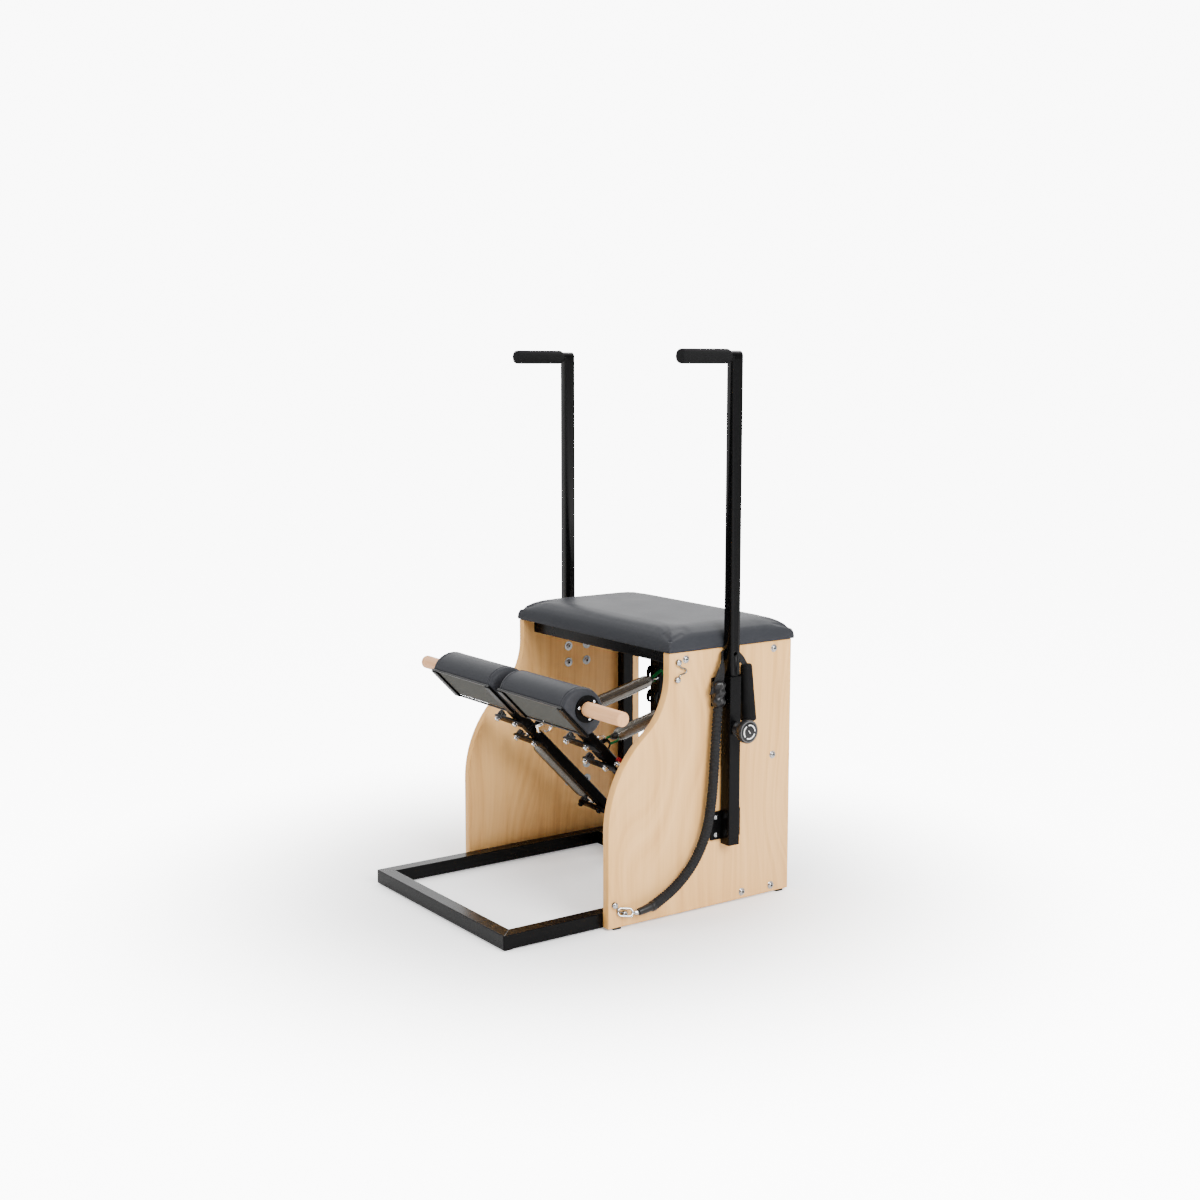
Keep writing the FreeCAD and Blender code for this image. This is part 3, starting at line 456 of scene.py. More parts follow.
def plywood():
    """Birch plywood with its plies at the edges."""
    finish = Finish("plywood")
    grain = finish.noise(1.0, 5.0, (4, 60, 60))
    plies = finish.node("ShaderNodeTexWave", {"bands_direction": "Z"}, {
        "Vector": finish.place(), "Scale": 90.0, "Distortion": 0.4}, 1)
    return finish.set(base_color=finish.mix(grain * 0.6 + plies * 0.4, (0.36, 0.235, 0.13), (0.55, 0.39, 0.23)),
                      roughness=0.6 + grain * 0.15)


MAPLE = laminate()
STEEL = moulded("black_steel", 0.08, *POWDER)
PEDAL_STEEL = moulded("pedal_steel", 0.035, *POWDER)
VINYL = vinyl()
CHROME = metal("chrome", (0.80, 0.80, 0.81), 0.10)
SPRING_STEEL = metal("spring_steel", (0.21, 0.20, 0.18), 0.07)
DULL_ZINC = metal("dull_zinc", (0.40, 0.41, 0.42), 0.30)
ZINC = metal("steel_bolt", (0.44, 0.45, 0.46), 0.12)
BEECH = beech()
FOAM = foam()
BLACK_PLASTIC = plastic("black_plastic", (0.0045, 0.0045, 0.0048), (0.0075, 0.0075, 0.008), 0.30)
RUBBER = plastic("foot_rubber", (0.008, 0.008, 0.008), (0.013, 0.0125, 0.012), 0.7)
# Near-black plastic for the hex sockets in the bolt heads: painted shade
SOCKET_SHADE = plastic("socket_shadow", (0.003, 0.003, 0.003), (0.005, 0.005, 0.005), 0.5)
GREY_RIM = plastic("grey_rim", (0.06, 0.06, 0.06), (0.09, 0.09, 0.09), 0.4)
WHITE_MARK = plastic("white_mark", (0.72, 0.72, 0.71), (0.82, 0.82, 0.81), 0.45)
CORD_CLOTH = cloth("cord_cover", (0.008, 0.008, 0.0085), (0.019, 0.019, 0.0195), 1300.0)
BOARD_CLOTH = cloth("grey_board", (0.052, 0.052, 0.047), (0.070, 0.070, 0.063), 900.0)
GREEN_WEB = cloth("green_loop", (0.002, 0.075, 0.016), (0.006, 0.150, 0.036), 1000.0)
RED_WEB = cloth("red_loop", (0.16, 0.005, 0.008), (0.28, 0.012, 0.018), 1000.0)
PLY = plywood()
THREAD = cloth("thread", (0.035, 0.036, 0.040), (0.060, 0.061, 0.067), 2500.0)

# The slots of the CAD nodes, each with its finishes; a node takes the first one
SLOTS = {"maple_laminate": (MAPLE,), "black_steel": (STEEL, PEDAL_STEEL), "plywood": (PLY,),
         "slate_vinyl": (VINYL, THREAD), "steel_bolt": (ZINC, DULL_ZINC, SOCKET_SHADE), "foot_rubber": (RUBBER,),
         "cord_cover": (CORD_CLOTH,), "black_plastic": (BLACK_PLASTIC, GREY_RIM, WHITE_MARK),
         "black_foam": (FOAM,), "chrome": (CHROME, SPRING_STEEL), "grey_board": (BOARD_CLOTH,), "beech": (BEECH,)}
for slot, finishes in SLOTS.items():
    for finish in finishes:
        finish.slot = slot


def dress_nodes():
    """Every CAD node takes the material of its slot."""
    for part in frame["record"]["subparts"]:
        mesh = nodes[part["node"]].data
        dull = part["node"].endswith(("pedal_arm", "pad_irons"))
        finish = PEDAL_STEEL if dull else SLOTS[part["material_slot"]][0]
        mesh.materials.clear()
        mesh.materials.append(finish.material)


# Studio
LENS = 49.68
SENSOR = 36
CAMERA_PLACE = (3163.66, -2032.28, 1231.71)
CAMERA_WAY = (-0.80961, 0.56985, -0.14073)
AWAY_FROM_CAMERA = (-0.81, 0.57, 0)
TENT_LOW = 0.25
TENT_TOP = 1.8
TENT_BACK = 1.8
GLOSS = 0.75
WHITE = 9.5
PAPER_GLOW = 8.2
FLOOR_SIZE = 60
LAMP_TARGET = Vector((0, 0, 0.45))
LAMPS = (("key", (3.7, 0.1, 2.3), 300, 2.0), ("front", (-1.4, -3.6, 2.4), 130, 2.0),
         ("back", (-0.9, 2.4, 3.3), 60, 1.6))


def aimed(name, data, place, way):
    """A camera or lamp at a place, looking one way."""
    thing = linked(name, data)
    thing.location = place
    thing.rotation_mode = "QUATERNION"
    thing.rotation_quaternion = Vector(way).to_track_quat("-Z", "Y")
    return thing


def make_sky():
    """A tent of soft light, stronger overhead and behind, with a white background."""
    world = bpy.data.worlds.new("studio")
    bpy.context.scene.world = world
    sky = Finish("studio", world, color=(1, 1, 1, 1))
    way = sky.node("ShaderNodeTexCoord")
    height = sky.node("ShaderNodeSeparateXYZ", sockets={0: way}, output="Z")
    behind = sky.node("ShaderNodeVectorMath", {"operation": "DOT_PRODUCT"}, {0: way, 1: AWAY_FROM_CAMERA}, "Value")
    top = sky.node("ShaderNodeMapRange", sockets={0: height, 1: 0.35, 2: 0.8, 3: TENT_LOW, 4: TENT_TOP})
    back = sky.node("ShaderNodeMapRange", sockets={0: behind, 1: 0.3, 2: 0.95, 3: 0.0, 4: TENT_BACK})
    tent = top + back
    seen = sky.node("ShaderNodeLightPath", output="Is Camera Ray")
    glossy = sky.node("ShaderNodeLightPath", output="Is Glossy Ray")
    sky.set(strength=tent + seen * (WHITE - tent) + glossy * back * GLOSS)


def make_floor():
    """White paper that glows to the camera, more further away from the object; the dimmer glow near it is painted
    shade.
    """
    deselect()
    bpy.ops.mesh.primitive_plane_add(size=FLOOR_SIZE)
    floor = fresh("floor")
    paper = Finish("paper", roughness=0.9, specular_ior_level=0.0, emission_strength=PAPER_GLOW)
    tint = paper.noise(3.0, 2.0)
    seen = paper.node("ShaderNodeLightPath", output="Is Camera Ray")
    away = paper.node("ShaderNodeVectorMath", {"operation": "LENGTH"}, {0: paper.place()}, "Value")
    # Near the object the glow falls to 4%: painted shade on the floor round the object
    painted_shade_fade = paper.node("ShaderNodeMapRange", {"interpolation_type": "SMOOTHSTEP"},
                      {0: away, 1: 0.35, 2: 1.4, 3: 0.04, 4: 1.0})
    paper.set(base_color=paper.mix(tint, (0.89, 0.89, 0.89), (0.91, 0.91, 0.91)),
              emission_color=paper.mix(seen * painted_shade_fade, (0.0, 0.0, 0.0), (1.0, 1.0, 1.0)))
    floor.data.materials.append(paper.material)


def make_studio():
    lens = bpy.data.cameras.new("camera")
    lens.lens = LENS
    lens.sensor_width = SENSOR
    bpy.context.scene.camera = aimed("camera", lens, at(*CAMERA_PLACE), CAMERA_WAY)
    make_sky()
    for name, place, power, size in LAMPS:
        light = bpy.data.lights.new(name, "AREA")
        light.energy = power
        light.size = size
        aimed(name, light, place, LAMP_TARGET - Vector(place))
    make_floor()


# Side panels
PANEL_DEPTH = 523.0
PANEL_TOP = 600.0
PANEL_SETBACK = 164.0
PANEL_STRAIGHT = 49.5
PANEL_BEVEL = 1.6
CURVE_SWEEP = 52.07
CURVE_STEPS = 26
UPPER_R = 160.8
LOWER_R = 264.8


def make_panels():
    """Both side panels, cut to one S-curve: a hollow arc under the seat runs into a round one."""
    turns = [radians(CURVE_SWEEP) * step / CURVE_STEPS for step in range(CURVE_STEPS + 1)]
    top = PANEL_TOP - PANEL_STRAIGHT
    hollow = [(PANEL_SETBACK - UPPER_R * (1 - cos(turn)), top - UPPER_R * sin(turn)) for turn in turns]
    foot = hollow[-1][1] - LOWER_R * sin(turns[-1])
    bulge = [(LOWER_R * (1 - cos(turn)), foot + LOWER_R * sin(turn)) for turn in reversed(turns[:-1])]
    corners = [(0, 0), (PANEL_DEPTH, 0), (PANEL_DEPTH, PANEL_TOP), (PANEL_SETBACK, PANEL_TOP)]
    for name, side in SIDES:
        left_face = min(side * PANEL_INNER, side * PANEL_OUTER)
        board = plate(name + "_maple_panel", corners + hollow + bulge, PANEL_T, PANEL_BEVEL)
        dress(moved(board, at(left_face, 0, 0), ACROSS), MAPLE, "frame", [name + "_side_panel"])


# Upholstery
PRESSURE = 4.0
BLOWN_FRAMES = 20


def crease(piece, start, end, depth, width):
    """Press a narrow fold into a soft piece along a line between two points."""
    line = end - start
    for vertex in piece.data.vertices:
        share = clamped((vertex.co - start).dot(line) / line.length_squared)
        away = (vertex.co - start - line * share).length / width
        if away < 1:
            vertex.co -= vertex.normal * depth * (1 - away * away) ** 2
    piece.data.update()


def stuffed(name, node, voxel, shrink, cap, held, settle=None):
    """A padded piece in its CAD solid's place: remeshed, blown up as cloth with its held points pinned."""
    piece = copy_of(nodes[node], name)
    outward(piece)
    inset = [(vertex, vertex.normal.copy()) for vertex in piece.data.vertices if not held(vertex.co)]
    for vertex, normal in inset:
        vertex.co -= normal * shrink
    apply_modifier(piece, "REMESH", mode="VOXEL", voxel_size=voxel)
    if settle:
        for vertex in piece.data.vertices:
            settle(vertex.co)
    rest = np.zeros(len(piece.data.vertices) * 3)
    piece.data.vertices.foreach_get("co", rest)
    rest = rest.reshape(-1, 3)
    pins = piece.vertex_groups.new(name="held")
    pins.add([vertex.index for vertex in piece.data.vertices if held(vertex.co)], 1.0, "REPLACE")
    fill = piece.modifiers.new("fill", "CLOTH")
    fill.settings.use_pressure = True
    fill.settings.uniform_pressure_force = PRESSURE
    fill.settings.vertex_group_mass = "held"
    fill.settings.effector_weights.gravity = 0
    fill.settings.quality = 5
    fill.point_cache.frame_end = BLOWN_FRAMES + 2
    scene = bpy.context.scene
    for number in range(1, BLOWN_FRAMES + 1):
        scene.frame_set(number)
    blown = piece.evaluated_get(bpy.context.evaluated_depsgraph_get()).data
    swell = np.zeros(len(rest) * 3)
    blown.vertices.foreach_get("co", swell)
    step = swell.reshape(-1, 3) - rest
    far = np.linalg.norm(step, axis=1)
    limit = np.minimum(1, cap / np.maximum(far, 1e-9))
    piece.modifiers.remove(fill)
    piece.vertex_groups.clear()
    piece.data.vertices.foreach_set("co", (rest + step * limit[:, None]).ravel())
    scene.frame_set(1)
    apply_modifier(piece, "SMOOTH", factor=0.5, iterations=4)
    apply_modifier(piece, "SUBSURF", levels=1)
    piece.data.shade_smooth()
    return piece


# Seat
SEAT_X = 312.0
SEAT_FRONT = 161.6
SEAT_BACK = 527.7
SEAT_BASE = 600.0
BOARD_ROOM = 0.003


def make_seat():
    """The seat's cover: pulled down at its corners, straight along its lower edge, with a fold at each corner."""
    base = at(0, 0, SEAT_BASE + 3).z
    board_top = at(0, 0, SEAT_BASE + 14).z
    rim = at(0, 0, SEAT_BASE + 40).z
    low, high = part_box("seat_board")
    middle = (low.y + high.y) / 2
    half_depth = (SEAT_BACK - SEAT_FRONT) / 2 * MM

    def held(point):
        inside = all(low[axis] - BOARD_ROOM < point[axis] < high[axis] + BOARD_ROOM for axis in (0, 1))
        return point.z < base or (inside and point.z < board_top)

    def settle(point):
        """The cover pulls the four corners down."""
        across = clamped((abs(point.x) / (SEAT_X * MM) - 0.72) / 0.28)
        along = clamped((abs(point.y - middle) / half_depth - 0.55) / 0.45)
        if point.z > base:
            point.z -= (point.z - base) * 0.2 * across ** 1.5 * along ** 1.5
        corner = clamped((across - 0.8) / 0.2) * clamped((along - 0.8) / 0.2)
        point.x += corner * 0.003 * copysign(1, point.x)
        point.y += corner * 0.003 * copysign(1, point.y - middle)

    seat = stuffed("seat_upholstery", "seat_cushion", 0.0045, 0.0020, 0.0042, held, settle)
    for vertex in seat.data.vertices:
        # The lower edge is stapled to the board all round, so it stays straight
        lower = clamped((rim - vertex.co.z) / 0.034)
        lower = lower * lower * (3 - 2 * lower)
        for axis, centre, half in ((0, 0.0, SEAT_X * MM), (1, middle, half_depth)):
            away = vertex.co[axis] - centre
            near = clamped((abs(away) - half + 0.024) / 0.016)
            vertex.co[axis] = centre + (abs(away) + max(0.0, half - abs(away)) * lower * near) * copysign(1, away)
    seat.data.update()
    for side in (-1, 1):
        for y, back in ((SEAT_FRONT, 1), (SEAT_BACK, -1)):
            foot = at(side * (SEAT_X - 9), y + back * 9, SEAT_BASE + 2)
            fork = at(side * (SEAT_X - 10), y + back * 10, SEAT_BASE + 26)
            crease(seat, foot, fork, 0.0034, 0.005)
            for inward, along in ((44, 16), (16, 48)):
                end = at(side * (SEAT_X - inward), y + back * along, SEAT_BASE + 40)
                crease(seat, fork, end, 0.0014, 0.008)
    dress(seat, VINYL, "frame", ["seat_cushion"])


# Pedals: points are given across the chair, along the arm from its pivot, and off the arm
PIVOT = (381.0, 65.0)
ARM_TILT = radians(45.7)
ARM_X = 150.0
ARM_END = 603.3
PAD_HALF = 133.5
SEAM_X = PAD_HALF - 15
STITCH = ((-1.5, 0.12), (-1.1, 0.42), (1.1, 0.42), (1.5, 0.12))
STITCHES = 60
STITCH_ROW = 3.2


def on_arm(side, across, along, off):
    """A point of a pedal, from its arm's middle: across the chair, along the arm, off the arm."""
    y = PIVOT[0] - along * cos(ARM_TILT) + off * sin(ARM_TILT)
    z = PIVOT[1] + along * sin(ARM_TILT) + off * cos(ARM_TILT)
    return at(side * (ARM_X + across), y, z)


OFF_ARM = Vector((0, sin(ARM_TILT), cos(ARM_TILT)))
ALONG_ARM = Vector((0, -cos(ARM_TILT), sin(ARM_TILT)))


def press_seams(pad, axis):
    """A shallow groove round each end of a pad."""
    for end in (-1, 1):
        seam_x = axis.x + end * SEAM_X * MM
        for vertex in pad.data.vertices:
            away = abs(vertex.co.x - seam_x) / 0.0028
            radial = vertex.co - axis
            radial.x = 0
            if away < 1 and radial.length > 0.030 and radial.dot(OFF_ARM) > -0.034:
                vertex.co -= radial.normalized() * 0.0011 * (1 - away * away)
    pad.data.update()


def stitch_places(pad, axis):
    """Where the stitches lie on a pad's skin: a row on each side of each seam."""
    bpy.context.view_layer.update()
    places = []
    for end in (-1, 1):
        for beside in (-STITCH_ROW, STITCH_ROW):
            x = axis.x + end * (SEAM_X + beside) * MM
            last = None
            for step in range(STITCHES):
                angle = radians(-52 + 284 * step / (STITCHES - 1))
                outside = axis + (ALONG_ARM * cos(angle) + OFF_ARM * sin(angle)) * 0.075
                _, point, normal, _ = pad.closest_point_on_mesh(Vector((x, outside.y, outside.z)))
                point = Vector((x, point.y, point.z))
                if last is not None and (point - last).length > 0.0015:
                    places.append((point + normal * 0.0001, point - last, normal))
                last = point
    return places


def make_pads():
    """The pads' covers, with a stitched seam round each end and a welt along each lower edge."""
    welt = ((-PAD_HALF + 3, 1.4), (-PAD_HALF + 4, 2.4), (PAD_HALF - 4, 2.4), (PAD_HALF - 3, 1.4))
    for name, side in SIDES:
        body = name + "_pedal"
        axis = on_arm(side, 0, ARM_END, 0)

        def held(point):
            off = (point - axis).dot(OFF_ARM)
            along = (point - axis).dot(ALONG_ARM)
            bore = (off * off + along * along) ** 0.5 < 0.021
            slot = abs(point.x - axis.x) < 0.0165 and abs(off) < 0.0165 and along < 0
            return off < -0.0335 or bore or slot

        pad = stuffed(name + "_pad_upholstery", name + "_pad", 0.0035, 0.0016, 0.0028, held)
        press_seams(pad, axis)
        edges = [(on_arm(side, 0, ARM_END + edge * 48.6, -38.6), ACROSS) for edge in (-1, 1)]
        dress(row(name + "_pad_welts", welt, 14, edges), BLACK_PLASTIC, body)
        dress(pad, VINYL, body, [name + "_pad"])
        stitches = row(name + "_pad_stitches", STITCH, 6, stitch_places(pad, axis))
        dress(stitches, THREAD, body)


DOWEL_HALF = 418.0
DOWEL_EASE = ((0, 13.8), (0.4, 15.0), (1.1, 15.7), (2.2, 16))


def make_dowel():
    """The beech dowel through both pads, with eased ends."""
    profile = [(-DOWEL_HALF + z, r) for z, r in DOWEL_EASE] + [(DOWEL_HALF - z, r) for z, r in reversed(DOWEL_EASE)]
    dowel = moved(turned("beech_dowel", profile, 48), on_arm(0, 0, ARM_END, 0), ACROSS)
    dress(dowel, BEECH, "left_pedal", ["dowel"])


# Handles
HANDLE_POST = 25.0
GRIP_FRONT = 170.0
GRIP_Z = 1250.0
GRIP_LENGTH = 138.0


def make_handles():
    """The handle posts, each with its cross tube cut off flush behind the post."""
    rear = at(0, HANDLE_Y + HANDLE_POST / 2 + 0.2, 0)
    for name, _ in SIDES:
        bar = copy_of(nodes[name + "_handle_post"], name + "_handle_bar")
        edit(bar)
        bpy.ops.mesh.remove_doubles(threshold=1e-6)
        bpy.ops.mesh.bisect(plane_co=rear, plane_no=(0, 1, 0), use_fill=True, clear_outer=True)
        dress(smooth(bar), STEEL, name + "_handle", [name + "_handle_post"])


def make_grips():
    """Foam grips on the handles, with rolled ends."""
    rolled = ((8, 16.5), (4.5, 16.1), (2, 15.0), (0.6, 13.6), (0, 12.7))
    profile = [(0, 9), (0.6, 12.2), (2.0, 14.6), (4.5, 16.0), (8, 16.5)] + [(GRIP_LENGTH - z, r) for z, r in rolled]
    for name, side in SIDES:
        grip = turned(name + "_foam_grip", profile, 40)
        moved(grip, at(side * HANDLE_X, GRIP_FRONT, GRIP_Z), (0, 1, 0))
        dress(grip, FOAM, name + "_handle", [name + "_grip"])


# Springs
COIL_OUTER = 16.5
SPRING_WIRE = 2.9
SPRING_X = 113.0
HOOK = (450.5, 452.2)
STUD = (405.0, 20.0)
RING_R = 15.0
REAR_RING_R = 9.0
FRONT_SLACK = 10.8
STEM = 58.0
REAR_STEM = 24.0
PARKED_X = 38.0
PARKED_OFF = -6.0
PARKED_ENDS = ((386.4, -1), (98.6, 1))
PARKED_STEM = 40.0


def coil(name, length):
    """A close-wound spring along z whose ends draw in to a neck."""
    deselect()
    wire = SPRING_WIRE * MM
    turns = int(length / SPRING_WIRE)
    bpy.ops.mesh.primitive_circle_add(vertices=8, radius=wire / 2, location=(COIL_OUTER * MM - wire / 2, 0, 0),
                                      rotation=(pi / 2, 0, 0))
    spring = fresh(name)
    apply_modifier(spring, "SCREW", angle=2 * pi, screw_offset=length * MM / turns, iterations=turns, steps=24,
                   use_merge_vertices=True, merge_threshold=1e-6)
    edit(spring)
    bpy.ops.mesh.fill_holes(sides=0)
    outward(spring)
    skin = (COIL_OUTER - 1.1) * MM
    for vertex in spring.data.vertices:
        # The wire's outside is drawn flat, and the ends close in like a bullet
        radius = Vector((vertex.co.x, vertex.co.y)).length
        flat = 1.06 if radius < skin else 1.06 * (skin + (radius - skin) * 0.15) / radius
        share = clamped(min(vertex.co.z, length * MM - vertex.co.z) / (20 * MM))
        neck = flat * (0.42 + 0.58 * (1 - (1 - share) ** 2) ** 0.5)
        vertex.co.x *= neck
        vertex.co.y *= neck
    spring.data.shade_smooth()
    return spring


def end_cap(name):
    """The black sleeve over a spring's neck, with the shank of its link."""
    return turned(name, ((-13, 3.4), (-12.4, 4.2), (-8.2, 4.2), (-8.0, 6.6), (-7.2, 7.4), (2.0, 8.6), (6.0, 9.6),
                         (6.8, 9.2), (7.0, 8.0)), 28)


def link(name, major=RING_R, minor=2.0):
    deselect()
    bpy.ops.mesh.primitive_torus_add(major_segments=40, minor_segments=10, major_radius=major * MM,
                                     minor_radius=minor * MM)
    ring = fresh(name)
    ring.data.shade_smooth()
    return ring


def loop(name, length, width):
    """A flat webbing loop along z: a ring of band, drawn out to its length."""
    deselect()
    bpy.ops.mesh.primitive_cylinder_add(vertices=28, radius=width / 2 * MM, depth=8 * MM, end_fill_type="NOTHING",
                                        rotation=(pi / 2, 0, 0))
    band = fresh(name)
    for vertex in band.data.vertices:
        if vertex.co.z > 1e-6:
            vertex.co.z += (length - width) * MM
    apply_modifier(band, "SOLIDIFY", thickness=1.6 * MM, offset=0)
    apply_modifier(band, "BEVEL", width=0.5 * MM, segments=2, limit_method="ANGLE")
    outward(band)
    return smooth(band, 50)


def clevis(name):
    """A bright fork: two cheeks and the bridge between them."""
    boxes = [((x, -8, -24), (x + 3, 8, 8)) for x in (-7, 4)] + [((-7, -8, -25), (7, 8, -21))]
    return joined(name, [rounded_box("cheek", Vector(a) * MM, Vector(b) * MM, 1.2 * MM) for a, b in boxes])


def work_spring(name, side):
    """A spring between a hook and the pedal's stud, with a link, a cap and a green loop at each end."""
    hook = at(side * SPRING_X, *HOOK)
    stud = on_arm(side, SPRING_X - ARM_X, *STUD)
    line = (stud - hook).normalized()
    front = stud + line * FRONT_SLACK * MM
    start, end = hook + line * REAR_STEM * MM, front - line * STEM * MM
    rear_body, front_body = name + "_spring", name + "_spring_front"
    length = (front - hook).length / MM - STEM - REAR_STEM
    spring = moved(coil(name + "_coil", length), start, line)
    dress(spring, SPRING_STEEL, None, [name + "_work_spring"])
    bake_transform(spring)
    upright = ACROSS.cross(line)
    ends = (("rear", hook, line, REAR_STEM, REAR_RING_R, rear_body, upright),
            ("front", front, -line, STEM, RING_R, front_body, ACROSS))
    for tag, place, way, stem, radius, body, normal in ends:
        ring = moved(link("%s_%s_link" % (name, tag), radius), place + way * radius * MM, normal, way)
        dress(ring, CHROME, body, ["%s_%s_ring" % (name, tag)])
        cap = moved(end_cap("%s_%s_cap" % (name, tag)), place + way * stem * MM, way)
        dress(cap, BLACK_PLASTIC, body)
    dress(moved(clevis(name + "_clevis"), stud, -line, upright), CHROME, name + "_pedal")
    below = front - line * 42 * MM - Vector((0, 0, 5 * MM))
    tape = moved(loop(name + "_front_loop", 32, 20), below, -line, (0.45, 0.25, 0.85))
    dress(tape, GREEN_WEB, front_body)
    tape = moved(loop(name + "_rear_loop", 40, 20), hook + line * 12 * MM, (0.25, 0.75, 0.6), (0.8, 0.3, -0.5))
    dress(tape, GREEN_WEB, rear_body)


def parked_spring(name, side):
    """A spare spring along the pedal's arm, held at both ends."""
    body = name + "_pedal"
    ends = [(on_arm(side, PARKED_X, along, PARKED_OFF), ALONG_ARM * way) for along, way in PARKED_ENDS]
    start, end = [place + way * PARKED_STEM * MM for place, way in ends]
    parked = moved(coil(name + "_parked_coil", (end - start).length / MM), start, end - start)
    dress(parked, SPRING_STEEL, body, [name + "_parked_spring"])
    rings = [(place + way * RING_R * MM, OFF_ARM, way) for place, way in ends]
    dress(many(name + "_parked_links", link("ring"), rings), CHROME, body, [name + "_parked_rings"])
    caps = [(place + way * PARKED_STEM * MM, way) for place, way in ends]
    dress(many(name + "_parked_caps", end_cap("cap"), caps), BLACK_PLASTIC, body)


def make_springs():
    """A working and a parked spring for each pedal; the right parked one has a red loop."""
    for name, side in SIDES:
        work_spring(name, side)
        parked_spring(name, side)
    tape = moved(loop("right_parked_loop", 36, 14), on_arm(1, PARKED_X, 384, 4), -ALONG_ARM, OFF_ARM)
    dress(tape, RED_WEB, "right_pedal")


# Hooks for the springs' rear ends
STRIP_X = (110, 141)
STRIP_T = 6
STRIP_LOW = (454, 291)
STRIP_HIGH = (484, 507)
HOOK_Z = (321, 382, 443)
HOOK_OUTLINE = ((0, 0), (-5, 0.4), (-9, 2.6), (-12, 8), (-13, 15), (-12, 23), (-9.5, 29), (-6, 33), (-3, 34),
                (-1.4, 32.8), (-1.8, 28), (-3.0, 21), (-4.2, 15), (-5.8, 11), (-6, 7.6), (-4.6, 6), (0, 6))


def make_hooks():
    """Each post has two strips with three crescent hooks."""
    pieces = []
    for side in (-1, 1):
        for x in STRIP_X:
            low, high = sorted((side * x, side * (x + STRIP_T)))
            pieces.append(rounded_box("strip", at(low, *STRIP_LOW), at(high, *STRIP_HIGH), 0.8 * MM, 2))
            for z in HOOK_Z:
                hook = plate("hook", HOOK_OUTLINE, STRIP_T, 0.6)
                pieces.append(moved(hook, at(low, STRIP_LOW[0] + 0.2, z), ACROSS))
    dress(joined("hook_rails", pieces), STEEL, "frame", ["hook_strips"])


# Fasteners: profiles are (height, radius), in mm
BUTTON_HEAD = ((0, 9), (1.1, 9), (1.5, 8.5), (1.55, 7.1), (2.6, 7.1), (3.7, 6.7), (4.6, 5.6), (5.0, 4.2),
               (5.0, 3.5), (3.0, 3.4))
WASHERED_HEAD = ((0, 11.6), (1.0, 11.6), (1.4, 11.2)) + BUTTON_HEAD[3:]
# A near-black disc at the bottom of each head's recess: painted shade in the socket
RECESS_SHADE_DISC = ((2.9, 2.9), (3.05, 3.0))
PAN_HEAD = ((0, 3.4), (0.8, 3.4), (1.5, 2.7), (1.8, 1.6))
BOLT_END = ((0, 6.2), (0.8, 6.2), (1.0, 5.0), (2.6, 4.6), (3.4, 3.2))
CAP_NUT = ((0, 8.5), (1.4, 8.5), (1.6, 6.4), (6.0, 6.4), (7.6, 5.6), (8.6, 3.6))
PANEL_BOLTS = ((211, 583), (469, 583), (469, 331), (381, 16), (469, 16))
PLATE_BOLTS = [(y, z) for y in (298, 354) for z in (168, 209, 480, 522)]
PLATE_FACE = 314.0


def both_sides(x, spots, way=1):
    """Places for bolts at the same spots on the left and the right, pointing out or, with way -1, in."""
    return [(at(side * x, y, z), (side * way, 0, 0)) for side in (-1, 1) for y, z in spots]


def make_bolts():
    """The bolts of the panels and of the handles' plates."""
    outer, inner = both_sides(PANEL_OUTER, PANEL_BOLTS), both_sides(PANEL_INNER, PLATE_BOLTS, -1)
    heads = row("panel_bolt_heads", BUTTON_HEAD, 28, outer)
    dress(heads, ZINC, "frame", ["panel_bolts"])
    dress(row("sleeve_bolt_heads", WASHERED_HEAD, 28, inner), DULL_ZINC, "frame")
    ends = row("plate_bolt_ends", BOLT_END, 18, both_sides(PLATE_FACE, PLATE_BOLTS))
    dress(ends, ZINC, "frame")
    # Painted shade: a near-black disc in each bolt head's socket
    dress(row("bolt_sockets", RECESS_SHADE_DISC, 6, outer + inner), SOCKET_SHADE, "frame")


# Spring bars: place along the arm and reach, in mm; the lowest one has black nuts
SPRING_BARS = ((457.0, 92.0), (380.0, 92.0), (105.0, 88.0))
LOWEST_BAR = 105.0
KNOB_SIDE = 72.0
BAR_OFF = -21.1
NUT_OFF = -21.2
FLANGE_SCREWS = (168, 42, -77)
FLANGE_R = 22.5


def claw(name):
    """A three-lobed black nut."""
    lobes = [turned("lobe", ((-8, 3.2), (-6.4, 4.4), (4, 4.4), (6, 3.2)), 14) for _ in range(3)]
    for number, lobe in enumerate(lobes):
        turn = 2 * pi * number / 3
        lobe.data.transform(Matrix.Translation((8.5 * cos(turn) * MM, 8.5 * sin(turn) * MM, 0)))
    core = turned("core", ((-8, 5), (-7, 7), (5, 7), (8, 5)), 20)
    return joined(name, [core] + lobes)


